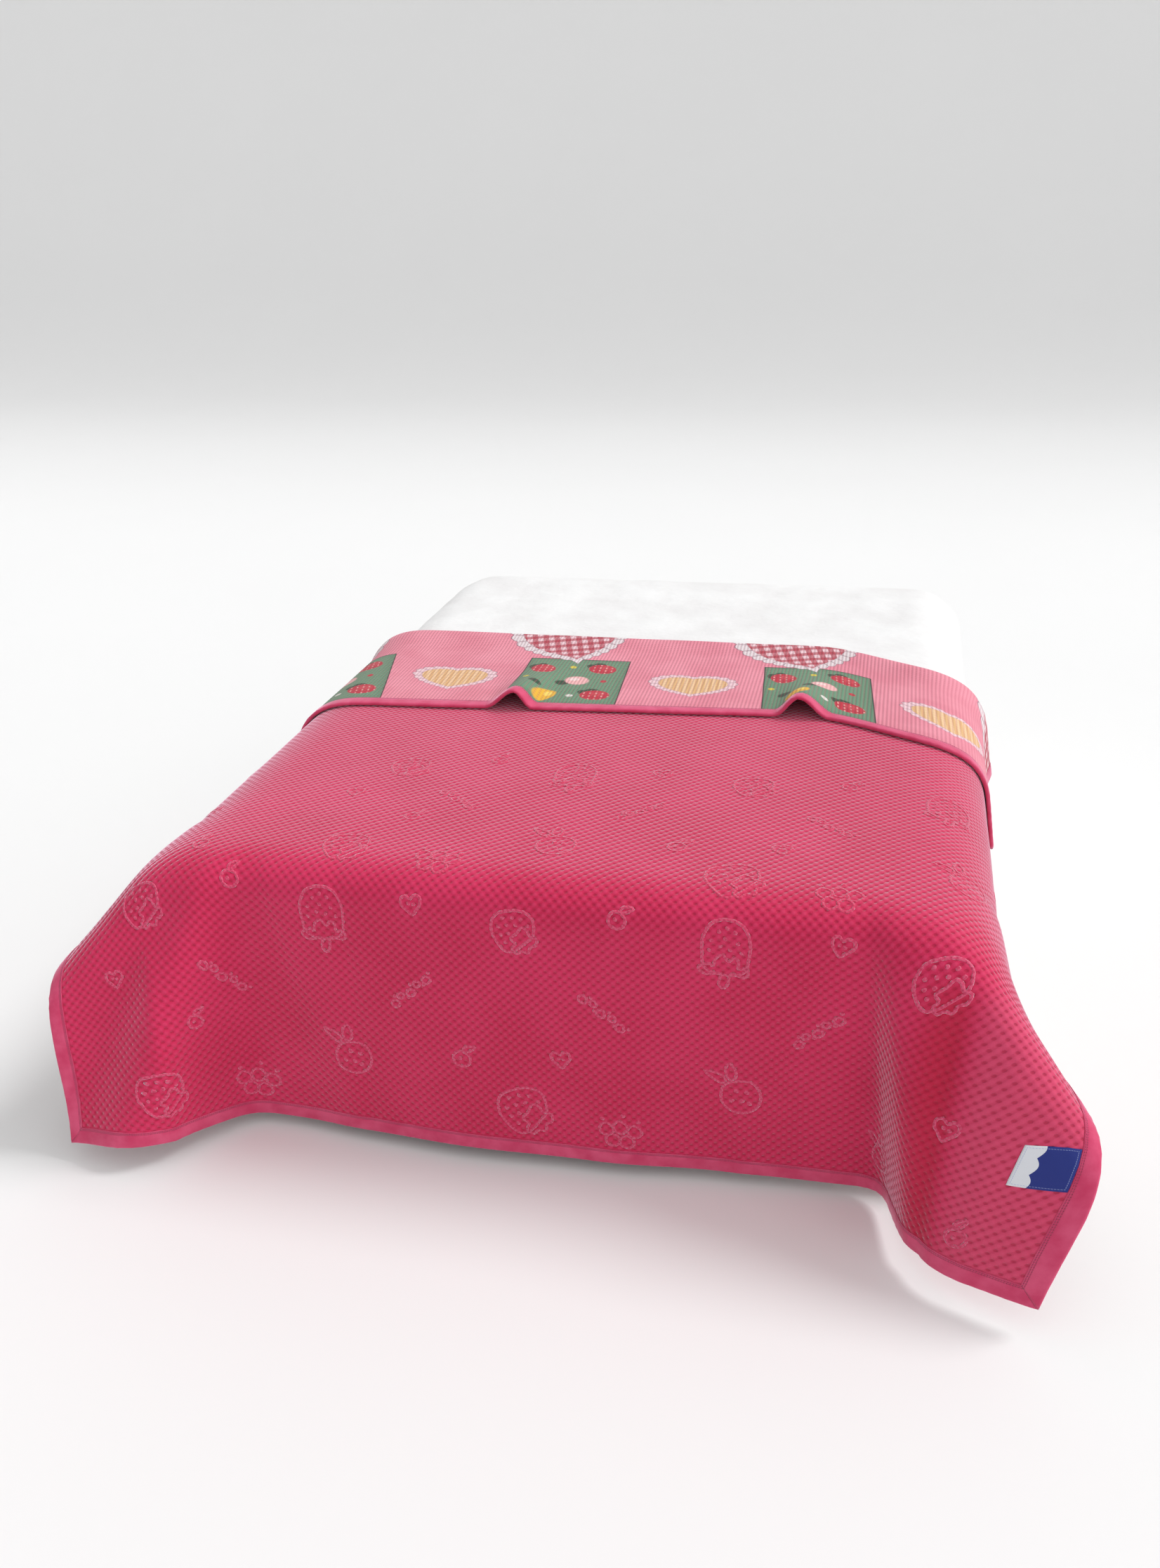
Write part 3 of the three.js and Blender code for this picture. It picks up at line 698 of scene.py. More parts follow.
def seed_rings(centre, size):
    """Rings of one raised dot, from its rim up to its small flat top."""
    a = np.linspace(0, 2 * np.pi, 9)[:-1]
    circle = np.stack([np.cos(a), np.sin(a)], -1)
    radius = np.array([0.0040, 0.0032, 0.0012]) * size
    flat = centre + circle[None] * radius[:, None, None]
    height = CLOTH / 2 + np.array([-0.0004, 0.0008, 0.0011])
    return flat, np.repeat(height[:, None], 8, 1)


def near_hem(points):
    """Whether any of the points comes too near the binding for a motif."""
    wide = HALF_WIDTH - MOTIF_MARGIN["side"]
    return np.abs(points[:, 0]).max() > wide or points[:, 1].min() < HEM_FOOT + MOTIF_MARGIN["foot"]


def ridge_faces(count):
    """Quads round a closed ridge whose sections have four points each."""
    ring = np.arange(count)
    after = (ring + 1) % count
    return np.concatenate([np.stack([ring * 4 + m, after * 4 + m, after * 4 + k, ring * 4 + k], -1)
                           for m, k in ((0, 1), (1, 2), (2, 3), (3, 0))])


def seed_faces():
    """Faces of one raised dot: its two bands, its top and its base, each of the last in three."""
    top = 16 + np.array([[0, 1, 2, 3], [0, 3, 4, 7], [4, 5, 6, 7]])
    base = np.array([[3, 2, 1, 0], [7, 4, 3, 0], [7, 6, 5, 4]])
    return np.concatenate([grid_faces(3, 8, closed=True), top, base])


def make_outlines(material):
    """All raised outlines and seeds of the face, as one piece of many small closed bodies."""
    flats, heights, faces, start = [], [], [], 0
    for place in motif_places():
        lines, dots = MOTIFS[place[0]]
        lines = [placed(round_line(points), place) for points in lines]
        bodies = [(*outline_rings(line), ridge_faces(len(line))) for line in lines if not near_hem(line)]
        bodies += [(*seed_rings(centre, place[4]), seed_faces())
                   for centre in placed(np.array(dots, float), place) if not near_hem(centre[None])]
        for flat, height, body in bodies:
            flats.append(flat.reshape(-1, 2))
            heights.append(height.ravel())
            faces.append(body + start)
            start += height.size
    flat = np.concatenate(flats)
    points = cloth_point(flat[:, 0], flat[:, 1], np.concatenate(heights))
    return new_piece("raised_outlines", points, faces, [material], maps={"cloth_place": flat})


def bed_ring(count, half, foot, radius, side_z, end_z):
    """A rounded rectangle seen from above, foot inside the bed's length at both ends, in even
    steps. Its height is eased from the sides' to the ends'."""
    per_corner = RING_POINTS["corner"]
    corner = np.repeat([0, 1, 2, 3], per_corner)
    a = np.radians(corner * 90.0 + np.tile(np.linspace(0, 90, per_corner), 4))
    x = np.where((corner == 0) | (corner == 3), half - radius, radius - half)
    y = np.where(corner < 2, BED_LENGTH - foot - radius, foot + radius)
    z = side_z + (end_z - side_z) * smooth(np.sin(a) ** 2)
    return even_ring(np.stack([x + radius * np.cos(a), y + radius * np.sin(a), z], -1) + SHIFT, count)


def mattress_profile(t):
    """Reach and drop of the mattress's side and end at the share t of the cloth's own turn,
    a little inside the cloth."""
    result = []
    straight = np.array([0.0, 0.0, -1.0])
    flat = np.array([1.0, 0.0, 0.0])
    for turn in (SIDE_TURN, FOOT_TURN):
        s = np.array(t * turn["length"])
        point = follow(s, flat, straight, turn["length"], turn["power"])
        angle = math.pi / 2 * float(smooth(t)) ** turn["power"]
        gap = CLOTH / 2 + REST_GAP + (EDGE_GAP - REST_GAP) * float(smooth(angle / math.radians(30)))
        result.append((point[0] - gap * math.sin(angle), point[2] - gap * math.cos(angle)))
    return result


def ring_piece(name, rings, material):
    """Closed body of stacked rings with the same number of points, its two ends closed by fans
    to a middle point."""
    rings = np.array(rings)
    rows, count = rings.shape[:2]
    ends = rings[[0, -1]].mean(1)
    points = np.concatenate([rings.reshape(-1, 3), ends])
    faces = outward(points, grid_faces(rows, count, closed=True))
    flipped = faces[0, 1] != 1
    m = np.arange(0, count, 2)
    hub = rows * count
    low = np.stack([m, np.full_like(m, hub), (m + 2) % count, (m + 1) % count], -1)
    high = low[:, ::-1].copy()
    high[high == hub] = hub + 1
    high = np.where(high < count, high + (rows - 1) * count, high)
    if flipped:
        low, high = low[:, ::-1], high[:, ::-1]
    return new_piece(name, points, [faces, low, high], [material])


def make_mattress(material):
    """The mattress in its fitted sheet: rings from the middle of its top out to the edge, down
    its sides and in underneath. The sheet has slack creases on top and gathers at the corners,
    which fade out up the side."""
    count = RING_POINTS["mattress"]
    full_side, full_end = mattress_profile(1)
    half = CORE_HALF + full_side[0]
    foot = CORE_FOOT - full_end[0]
    rings = []
    top_side, top_end = mattress_profile(0)
    outline = bed_ring(count, CORE_HALF, CORE_FOOT, MATTRESS_CORNER - 0.4 * full_side[0],
                       top_side[1], top_end[1])
    middle_line = np.array([0, BED_LENGTH / 2, 0]) + SHIFT
    for share in np.linspace(0.02, 0.98, 26):
        ring = middle_line + (outline - middle_line) * share
        ring[:, 2] = outline[:, 2]
        rings.append(ring)
    for t in np.linspace(0, 1, 22):
        side, end = mattress_profile(t)
        inset = full_side[0] - side[0]
        radius = max(MATTRESS_CORNER - 0.4 * inset, 0.024)
        rings.append(bed_ring(count, CORE_HALF + side[0], CORE_FOOT - end[0], radius, side[1], end[1]))
    low_z = -MATTRESS_DEPTH + MATTRESS_EDGE
    for z in np.linspace(rings[-1][0, 2] - BED_TOP, low_z, 10)[1:-1]:
        rings.append(bed_ring(count, half, foot, MATTRESS_CORNER, z, z))
    for a in np.radians(np.linspace(0, 90, 7)):
        inset = MATTRESS_EDGE * (1 - math.cos(a))
        z = low_z - MATTRESS_EDGE * math.sin(a)
        rings.append(bed_ring(count, half - inset, foot + inset, MATTRESS_CORNER - inset, z, z))
    rings = np.array(rings)
    x, y, z = np.moveaxis(rings, -1, 0)
    top = smooth((z - (BED_TOP - 0.08)) / 0.06)
    head = smooth((y - 0.50) / 0.10)
    slack = np.sin(x * 31 + 3 * np.sin(y * 7)) * np.sin(y * 23 + 2 * np.sin(x * 5)) - 1
    rings[..., 2] += top * head * MATTRESS_SLACK * slack
    corner = np.exp(-(((np.abs(x) - half) / 0.09) ** 2)) * np.exp(-(((y - 1.10) / 0.10) ** 2))
    around = np.arange(count) * 2 * np.pi / count
    gather = -MATTRESS_GATHER * (1 + np.sin(around * 150)) * corner * smooth((0.52 - z) / 0.14)
    away = rings[..., :2] - np.array([SHIFT[0], SHIFT[1] + BED_LENGTH / 2])
    away /= np.linalg.norm(away, axis=-1, keepdims=True)
    rings[..., :2] += away * gather[..., None]
    return ring_piece("sheeted_mattress", rings, material)


def make_base(material):
    """The upholstered base: a box with soft upright corners, a piped seam round its top and
    its bottom, and sides that swell a little between them."""
    full_side, full_end = mattress_profile(1)
    half = CORE_HALF + full_side[0] - BASE_INSET
    foot = CORE_FOOT - full_end[0] + BASE_INSET
    top = -MATTRESS_DEPTH - 0.0003
    profile = [(-BED_TOP, 0.004), (-BED_TOP + 0.002, 0.001), (-BED_TOP + 0.006, 0.0)]
    for centre in (-BED_TOP + 0.030, top - 0.026):
        a = np.radians(np.linspace(-90, 90, 7))
        bead = np.stack([centre + 0.004 * np.sin(a), 0.0015 - 0.004 * np.cos(a)], -1)
        profile += [(centre - 0.006, 0.0015)] + bead.tolist() + [(centre + 0.006, 0.0015)]
        if centre < -0.4:
            rise = np.linspace(0.05, 0.95, 12)
            span = (top - 0.026 - 0.006) - (centre + 0.006)
            profile += [(centre + 0.006 + span * r, 0.0015 - BASE_SWELL * math.sin(math.pi * r))
                        for r in rise]
    profile += [(top - 0.010, 0.0), (top - 0.004, 0.001), (top - 0.001, 0.004), (top, 0.010)]
    rings = [bed_ring(RING_POINTS["base"], half - i, foot + i, BASE_CORNER - i, z, z) for z, i in profile]
    return ring_piece("upholstered_base", rings, material)


class Amount:
    """A number that varies over a surface. Sums and products of amounts become Math nodes."""

    def __init__(self, nodes, links, socket):
        self.nodes, self.links, self.socket = nodes, links, socket

    def work(self, operation, *others, clamp=False):
        node = self.nodes.new("ShaderNodeMath")
        node.operation = operation
        node.use_clamp = clamp
        for slot, value in zip(node.inputs, (self,) + others):
            if isinstance(value, Amount):
                self.links.new(value.socket, slot)
            else:
                slot.default_value = value
        return Amount(self.nodes, self.links, node.outputs[0])

    def __add__(self, other):
        return self.work("ADD", other)

    def __sub__(self, other):
        return self.work("SUBTRACT", other)

    def __mul__(self, other):
        return self.work("MULTIPLY", other)

    def __truediv__(self, other):
        return self.work("DIVIDE", other)

    def cos(self):
        return self.work("COSINE")

    def sin(self):
        return self.work("SINE")

    def abs(self):
        return self.work("ABSOLUTE")

    def least(self, other):
        return self.work("MINIMUM", other)

    def most(self, other):
        return self.work("MAXIMUM", other)

    def centred(self, period):
        """Distance from the nearest whole repeat, from minus half to plus half a period."""
        return self.work("WRAP", period / 2, -period / 2)

    def ease(self, low, high):
        """Soft step from 0 at low to 1 at high."""
        node = self.nodes.new("ShaderNodeMapRange")
        node.interpolation_type = "SMOOTHSTEP"
        node.inputs["From Min"].default_value = min(low, high)
        node.inputs["From Max"].default_value = max(low, high)
        node.inputs["To Min"].default_value = 0.0 if low < high else 1.0
        node.inputs["To Max"].default_value = 1.0 if low < high else 0.0
        self.links.new(self.socket, node.inputs["Value"])
        return Amount(self.nodes, self.links, node.outputs["Result"])


class Finish:
    """One material under the making: its node tree and its shader."""

    def __init__(self, name, rough, sheen=0.0, sheen_rough=0.5, sheen_tint=(1, 1, 1), gloss=0.25):
        self.material = bpy.data.materials.new(name)
        self.material.use_nodes = True
        self.nodes = self.material.node_tree.nodes
        self.links = self.material.node_tree.links
        self.shader = self.nodes["Principled BSDF"]
        self.shader.inputs["Roughness"].default_value = rough
        self.shader.inputs["Specular IOR Level"].default_value = gloss
        self.shader.inputs["Sheen Weight"].default_value = sheen
        self.shader.inputs["Sheen Roughness"].default_value = sheen_rough
        self.shader.inputs["Sheen Tint"].default_value = (*sheen_tint, 1)

    def amount(self, socket):
        return Amount(self.nodes, self.links, socket)

    def split(self, vector, letters, scale=1000.0):
        """The named coordinates of a vector, in millimetres unless the scale says otherwise."""
        node = self.nodes.new("ShaderNodeSeparateXYZ")
        self.links.new(vector, node.inputs[0])
        return [self.amount(node.outputs[letter]) * scale for letter in letters]

    def map_place(self, title, scale=1000.0):
        """Both coordinates of one of the piece's own UV maps, and the map as a vector."""
        node = self.nodes.new("ShaderNodeUVMap")
        node.uv_map = title
        place = node.outputs["UV"]
        return *self.split(place, "XY", scale), place

    def object_place(self):
        return self.nodes.new("ShaderNodeTexCoord").outputs["Object"]

    def noise(self, vector, scale, detail=2.0, rough=0.5):
        """Cloudy noise from 0 to 1."""
        node = self.nodes.new("ShaderNodeTexNoise")
        node.inputs["Scale"].default_value = scale
        node.inputs["Detail"].default_value = detail
        node.inputs["Roughness"].default_value = rough
        self.links.new(vector, node.inputs["Vector"])
        return self.amount(node.outputs["Fac"])

    def blend(self, share, under, over):
        """Colour that goes from under to over as the share goes from 0 to 1."""
        node = self.nodes.new("ShaderNodeMix")
        node.data_type = "RGBA"
        self.links.new(share.socket, node.inputs["Factor"])
        for slot, colour in (("A", under), ("B", over)):
            socket = [s for s in node.inputs if s.name == slot and s.type == "RGBA"][0]
            if isinstance(colour, tuple):
                socket.default_value = (*colour, 1)
            else:
                self.links.new(colour, socket)
        return [s for s in node.outputs if s.type == "RGBA"][0]

    def colour(self, socket):
        self.links.new(socket, self.shader.inputs["Base Color"])

    def bump(self, height):
        """Relief from a height in millimetres."""
        node = self.nodes.new("ShaderNodeBump")
        node.inputs["Strength"].default_value = 1.0
        node.inputs["Distance"].default_value = 0.001
        self.links.new(height.socket, node.inputs["Height"])
        self.links.new(node.outputs["Normal"], self.shader.inputs["Normal"])


def waffle(u, v):
    """Staggered dimples: the product of two cosines is 1 in the middle of each dimple and -1 on
    the puffs between them. u and v are in millimetres."""
    return (u * WAVE_U).cos() * (v * WAVE_V).cos()


def waffle_pits(u, v, wide, tall):
    """Share that is 1 in small ovals in the middle of the dimples: the least of the distances
    from two lattices, one moved by half a repeat both ways, each over the oval's radii."""
    u_pitch, v_pitch = WAFFLE_U * 1000, WAFFLE_V * 1000
    distance = None
    for move in (0.0, 0.5):
        x = (u + u_pitch * move).centred(u_pitch) / wide
        y = (v + v_pitch * move).centred(v_pitch) / tall
        square = x * x + y * y
        distance = square if distance is None else distance.least(square)
    return distance.ease(1.5, 0.1)


# Hollow of the right foot corner in millimetres: its u at the bed's edge, and how far it moves
# outwards for each millimetre down. Painted shade darkens the plush in it, and a painted
# highlight makes the flap past it paler.
HOLLOW_U = 732.0
HOLLOW_LEAN = -0.128


def plush_finish():
    """Deep pink waffled plush: small pits in the dimples and slanting grooves from pit to pit,
    darkened as painted shade, puffs made paler as a painted highlight, a fine nap, and slow
    drifts of tone. Its short pile shines at a glancing angle. Painted shade darkens the right
    corner's hollow, and a painted highlight makes the flap past it paler."""
    finish = Finish("waffled_plush", 0.70, sheen=1.0, sheen_rough=0.38,
                    sheen_tint=(1.0, 0.85, 1.0), gloss=0.28)
    u, v, place = finish.map_place("cloth_place")
    wave = waffle(u, v)
    pits = waffle_pits(u, v, 3.6, 2.6)
    slant = u * WAVE_U - v * WAVE_V
    groove = slant.cos().ease(0.0, 1.0)
    nap = finish.noise(place, 620, 3)
    drift = finish.noise(place, 5, 3)
    tone = finish.blend(drift.ease(0.3, 0.7), (0.530, 0.006, 0.062), (0.600, 0.014, 0.086))
    tone = finish.blend(nap.ease(0.45, 0.8) * 0.25, tone, (0.72, 0.11, 0.22))
    # Painted highlight: the puffs between the dimples made paler.
    tone = finish.blend(wave.ease(0.1, -0.9) * 0.40, tone, (0.66, 0.045, 0.14))
    past = u - (v * HOLLOW_LEAN + HOLLOW_U)
    hung = v.ease(10.0, -70.0)
    # Painted highlight: the flap past the hollow made paler, where the light falls on it.
    tone = finish.blend(past.ease(10.0, 65.0) * hung * 0.50, tone, (0.66, 0.085, 0.175))
    # Painted shade along the slanting grooves from pit to pit.
    tone = finish.blend(groove * 0.16, tone, (0.36, 0.004, 0.035))
    # Painted shade: the plush darkened in the right corner's hollow.
    deep = past.ease(-80.0, -5.0) * past.ease(38.0, 5.0) * hung
    tone = finish.blend(deep * 0.65, tone, (0.44, 0.001, 0.028))
    # Painted shade in the pits of the dimples.
    tone = finish.blend(pits * 0.50, tone, (0.340, 0.001, 0.028))
    finish.colour(tone)
    finish.bump(pits * -0.55 + wave * -0.60 + groove * -0.28 + nap * 0.4)
    return finish.material


def outline_finish():
    """The same plush pressed up into outlines: lighter, and beaded by the waffle below."""
    finish = Finish("raised_plush", 0.70, sheen=1.0, sheen_rough=0.38,
                    sheen_tint=(1.0, 0.87, 1.0), gloss=0.30)
    u, v, place = finish.map_place("cloth_place")
    nap = finish.noise(place, 420, 3)
    bead = waffle(u * 1.9, v * 1.9).ease(-0.4, 1.0)
    tone = finish.blend(nap.ease(0.3, 0.7), (0.600, 0.050, 0.130), (0.680, 0.100, 0.200))
    tone = finish.blend(bead * 0.65, tone, (0.520, 0.014, 0.075))
    # Painted shade: the outlines darker towards the bed's top, so that they fade into the plush that its
    # sheen makes paler there.
    tone = finish.blend(v.ease(-10.0, 130.0) * 0.7, tone, (0.600, 0.022, 0.085))
    finish.colour(tone)
    finish.bump(nap * 0.7 + bead * -0.9)
    return finish.material


def binding_finish():
    """Smooth velvety binding: two rows of stitches near its inner edge, and a soft mottling
    where its short pile lies this way and that."""
    finish = Finish("velvet_binding", 0.6, sheen=0.8, sheen_rough=0.38, sheen_tint=(1.0, 0.62, 0.78))
    along, d, place = finish.map_place("strip_place")
    mottle = finish.noise(place, 26, 3, 0.55)
    weave = finish.noise(place, 700, 2)
    crease = finish.noise(place, 90, 2)
    tone = finish.blend(mottle.ease(0.25, 0.75), (0.540, 0.034, 0.110), (0.650, 0.080, 0.180))
    rows = ((d + 27.6).abs().ease(1.1, 0.4)).most((d + 24.9).abs().ease(1.0, 0.4))
    dash = along.centred(4.0).abs().ease(1.7, 1.4)
    tone = finish.blend(rows * 0.75, tone, (0.200, 0.003, 0.030))
    tone = finish.blend(rows * dash * 0.6, tone, (0.560, 0.060, 0.150))
    finish.colour(tone)
    finish.bump(rows * -0.6 + rows * dash * 0.8 + weave * 0.15 + mottle * 0.9 + crease * 0.4)
    return finish.material


def label_finish():
    """Woven label: white on the left, navy on the right behind a scalloped edge, a stitched
    border and fine woven ribs."""
    finish = Finish("woven_label", 0.5, sheen=0.03)
    x, y, _ = finish.map_place("label_place", 1.0)
    scallop = (y * (math.pi * 2.5) + 0.6).sin().abs() * 0.085
    navy = (x + scallop * -1.0).ease(0.285, 0.292)
    ribs = (y * (2 * math.pi * 90)).cos()
    cross = (x * (2 * math.pi * 70)).cos()
    edge = x.least(x * -1.0 + 1.0).least(y.least(y * -1.0 + 1.0))
    border = (edge + -0.055).abs().ease(0.010, 0.006) * ((x + y).centred(0.05).abs().ease(0.019, 0.016))
    tone = finish.blend(navy, (0.72, 0.74, 0.79), (0.006, 0.020, 0.200))
    tone = finish.blend(border * 0.5, tone, (0.30, 0.36, 0.62))
    tone = finish.blend(ribs.ease(0.0, 1.0) * 0.05, tone, (0.6, 0.62, 0.75))
    finish.colour(tone)
    finish.bump(ribs * 0.05 + cross * 0.04 + border * 0.15 + navy * 0.06)
    return finish.material


# How much a heart is squeezed along its height, and how far it is moved down its circle
HEART_TALL = 1.12
HEART_DROP = 0.26


def heart_shape(x, y, size, dip_share, blunt):
    """Distance-like value of a heart with its point towards +y: below 0 inside it. It is a
    circle whose height has the square root of the distance across added to it. The share
    sets how deep the dip is and blunt rounds the point."""
    across = (x * x + blunt * blunt).work("SQRT") - blunt
    dip = across.work("SQRT") * (dip_share * math.sqrt(size))
    tall = (y * -HEART_TALL) - dip + size * HEART_DROP
    return (x * x + tall * tall).work("SQRT") - size


def frilled_heart(finish, ground, x, y, heart):
    """A gingham heart with a scalloped frill between thin dark lines. Gingham is one set of
    stripes laid over another, so that the squares where both meet are strongest."""
    frill = heart["frill"]
    shape = heart_shape(x, y / heart["squash"], heart["size"], heart["dip"], heart["blunt"])
    round_it = y.work("ARCTAN2", x)
    scallop = (round_it * 13.0).sin().abs() * (frill * 0.28)
    rim = shape - scallop
    line = (0.24, 0.13, 0.17)
    ground = finish.blend(rim.ease(frill * 0.82, frill * 0.72), ground, line)
    ground = finish.blend(rim.ease(frill * 0.74, frill * 0.66), ground, heart["frill_tone"])
    pleat = (round_it * 26.0).cos().ease(0.75, 1.0) * shape.ease(frill * 0.75, frill * 0.5)
    ground = finish.blend(pleat * 0.6, ground, line)
    ground = finish.blend(shape.ease(2.4, 1.2) * 0.5, ground, line)
    across = x.centred(heart["check"]).abs().ease(heart["check"] * 0.22, heart["check"] * 0.28)
    along = y.centred(heart["check"] * 0.96).abs().ease(heart["check"] * 0.22, heart["check"] * 0.28)
    inside = shape.ease(1.0, -1.0)
    ground = finish.blend(inside, ground, heart["pale"])
    ground = finish.blend(inside * across * 0.70, ground, heart["strong"])
    return finish.blend(inside * along * heart["rows"], ground, heart["strong"])


def blob(x, y, centre, radius, turn, soft=0.06):
    """Share that is 1 inside an ellipse: its two turned coordinates over their radii."""
    c, s = math.cos(math.radians(turn)), math.sin(math.radians(turn))
    px, py = x - centre[0], y - centre[1]
    a = (px * c + py * s) / radius[0]
    b = (py * c - px * s) / radius[1]
    return (a * a + b * b).ease(1 + soft * 2, 1 - soft * 2)


# What lies on a green patch, in millimetres from its middle: centre, radii, turn, tone
PATCH_BERRIES = [((66, -86), 20), ((72, 88), 0), ((-82, -66), 65)]
PATCH_BERRY = (36, 30)
PATCH_SPOTS = [
    ((-18, 14), (21, 13), -25, (0.025, 0.070, 0.040)),
    ((14, -4), (30, 27), 15, (0.780, 0.420, 0.420)),
    ((6, -12), (13, 10), 0, (0.820, 0.620, 0.600)),
    ((-48, 104), (20, 38), 32, (0.700, 0.400, 0.040)),
    ((-40, 92), (9, 14), 32, (0.780, 0.580, 0.120)),
    ((-78, 66), (18, 12), 40, (0.025, 0.070, 0.040)),
    ((-10, -92), (8, 9), 0, (0.600, 0.500, 0.060)),
    ((80, -4), (8, 8), 0, (0.480, 0.035, 0.050)),
    ((12, 96), (9, 8), 0, (0.660, 0.640, 0.600)),
    ((-110, 10), (8, 8), 0, (0.600, 0.500, 0.060)),
]


def berry_patch(finish, ground, x, y):
    """A green patch with a thin dark edge, and red berries with leaves, a blossom and dots."""
    box = (x.abs() - 128.0).most(y.abs() - 148.0)
    inside = box.ease(0.0, -1.6)
    ground = finish.blend(box.ease(3.0, 1.4), ground, (0.030, 0.045, 0.035))
    ground = finish.blend(inside, ground, (0.125, 0.255, 0.160))
    ground = finish.blend(box.ease(-26.0, 0.0) * inside * 0.25, ground, (0.045, 0.120, 0.075))
    seeds = (x.centred(15.0).abs().ease(2.6, 1.4)) * (y.centred(19.0).abs().ease(6.0, 4.0))
    for centre, turn in PATCH_BERRIES:
        for leaf in ((-26, -16), (-8, -26)):
            place = centre[0] + leaf[0], centre[1] + leaf[1]
            ground = finish.blend(blob(x, y, place, (19, 14), turn + 20) * inside, ground,
                                  (0.025, 0.070, 0.040))
        fruit = blob(x, y, centre, PATCH_BERRY, turn) * inside
        ground = finish.blend(fruit, ground, (0.460, 0.022, 0.042))
        shine = blob(x, y, (centre[0] + 8, centre[1] - 8), (18, 14), turn, 0.3) * inside
        ground = finish.blend(shine * 0.4, ground, (0.620, 0.090, 0.100))
        ground = finish.blend(fruit * seeds * 0.7, ground, (0.760, 0.420, 0.380))
    for centre, radius, turn, tone in PATCH_SPOTS:
        ground = finish.blend(blob(x, y, centre, radius, turn, 0.12) * inside, ground, tone)
    return ground


# Middle of one repeat of the print, u and v in millimetres, and its repeat
PRINT_U = 128.0
PRINT_V = 1656.0
PRINT_REPEAT = 598.0
SMALL_HEART = {"size": 84.0, "squash": 0.70, "dip": 0.50, "blunt": 14.0,
               "frill": 25.0, "check": 17.0, "rows": 0.15,
               "pale": (0.760, 0.520, 0.310), "strong": (0.620, 0.350, 0.140),
               "frill_tone": (0.760, 0.540, 0.580)}
LARGE_HEART = {"size": 132.0, "squash": 0.92, "dip": 0.62, "blunt": 2.0,
               "frill": 36.0, "check": 29.0, "rows": 0.70,
               "pale": (0.760, 0.540, 0.580), "strong": (0.370, 0.008, 0.030),
               "frill_tone": (0.700, 0.620, 0.640)}
LARGE_HEART_TURN = math.radians(14)
LARGE_HEART_TIP = (-4.0, -120.0)
PRINT_LEAN = 0.07
PRINT_LEAN_LEFT = 0.20


def print_finish():
    """The pale pink reverse: fine ribs along the cloth, and a print of gingham hearts and
    green berry patches that repeats both ways. The print leans a little, more so at the left."""
    finish = Finish("printed_reverse", 0.9, sheen=0.12, sheen_tint=(1.0, 0.8, 0.85))
    true_u, v, place = finish.map_place("cloth_place")
    drift = finish.noise(place, 9, 3)
    nap = finish.noise(place, 600, 2)
    lean = (true_u * -1.0).ease(380.0, 640.0) * PRINT_LEAN_LEFT + PRINT_LEAN
    u = true_u - (v - PRINT_V) * lean
    x = (u - PRINT_U).centred(PRINT_REPEAT)
    y = (v - PRINT_V).centred(PRINT_REPEAT)
    patch_x = (u - (PRINT_U + PRINT_REPEAT / 2)).centred(PRINT_REPEAT)
    patch_y = (v - (PRINT_V + 2)).centred(PRINT_REPEAT)
    tip_x = patch_x - LARGE_HEART_TIP[0]
    tip_y = (v - (PRINT_V + LARGE_HEART_TIP[1])).centred(PRINT_REPEAT)
    c, s = math.cos(LARGE_HEART_TURN), math.sin(LARGE_HEART_TURN)
    big_x = tip_x * c - tip_y * s
    reach = LARGE_HEART["size"] * LARGE_HEART["squash"] * (1 + HEART_DROP) / HEART_TALL
    reach += LARGE_HEART["frill"] * 0.7
    big_y = tip_x * s + tip_y * c + reach
    tone = finish.blend(drift.ease(0.3, 0.7), (0.680, 0.220, 0.285), (0.750, 0.275, 0.345))
    tone = berry_patch(finish, tone, patch_x, patch_y)
    tone = frilled_heart(finish, tone, x, y, SMALL_HEART)
    tone = frilled_heart(finish, tone, big_x, big_y, LARGE_HEART)
    rib = (true_u * (2 * WAVE_U)).cos()
    dot = waffle(true_u, v).abs().ease(0.4, 1.0)
    tone = finish.blend(rib.ease(0.0, 1.0) * 0.16 + dot * 0.14, tone, (0.42, 0.08, 0.13))
    finish.colour(tone)
    finish.bump(rib * -0.40 + dot * -0.7 + nap * 0.25)
    return finish.material


def cotton_finish():
    """White cotton sheet: fine weave, soft wrinkles, a hem seam near its lower edge."""
    finish = Finish("white_cotton", 0.8, sheen=0.15)
    place = finish.object_place()
    wrinkle = finish.noise(place, 7, 4, 0.55)
    weave = finish.noise(place, 900, 2)
    seam = (finish.split(place, "Z")[0] - 392.0).abs().ease(1.6, 0.6)
    # Painted shade: darker in the wrinkles' hollows, paler on their crests.
    tone = finish.blend(wrinkle.ease(0.25, 0.75), (0.74, 0.73, 0.73), (0.81, 0.81, 0.81))
    tone = finish.blend(seam * 0.4, tone, (0.55, 0.54, 0.55))
    finish.colour(tone)
    finish.bump(wrinkle * 9.0 + weave * 0.12 + seam * -0.7)
    return finish.material


def upholstery_finish():
    """Pale woven upholstery: warp and weft threads as two crossing waves, uneven in tone."""
    finish = Finish("pale_upholstery", 0.9, sheen=0.2)
    place = finish.object_place()
    x, y, z = finish.split(place, "XYZ")
    thread = 2 * math.pi / 3.0
    level = ((x + y) * thread).cos()
    upright = (z * thread).cos()
    slub = finish.noise(place, 60, 3)
    tone = finish.blend(slub.ease(0.25, 0.75), (0.66, 0.63, 0.58), (0.76, 0.73, 0.69))
    tone = finish.blend((level * upright).ease(0.0, 1.0) * 0.25, tone, (0.50, 0.47, 0.43))
    finish.colour(tone)
    finish.bump((level + upright) * 0.15 + slub * 0.3)
    return finish.material


def floor_finish():
    """Plain pale floor with a barely uneven tone."""
    finish = Finish("pale_floor", 0.75)
    drift = finish.noise(finish.object_place(), 0.8, 2)
    finish.colour(finish.blend(drift, (0.80, 0.80, 0.80), (0.82, 0.82, 0.82)))
    return finish.material


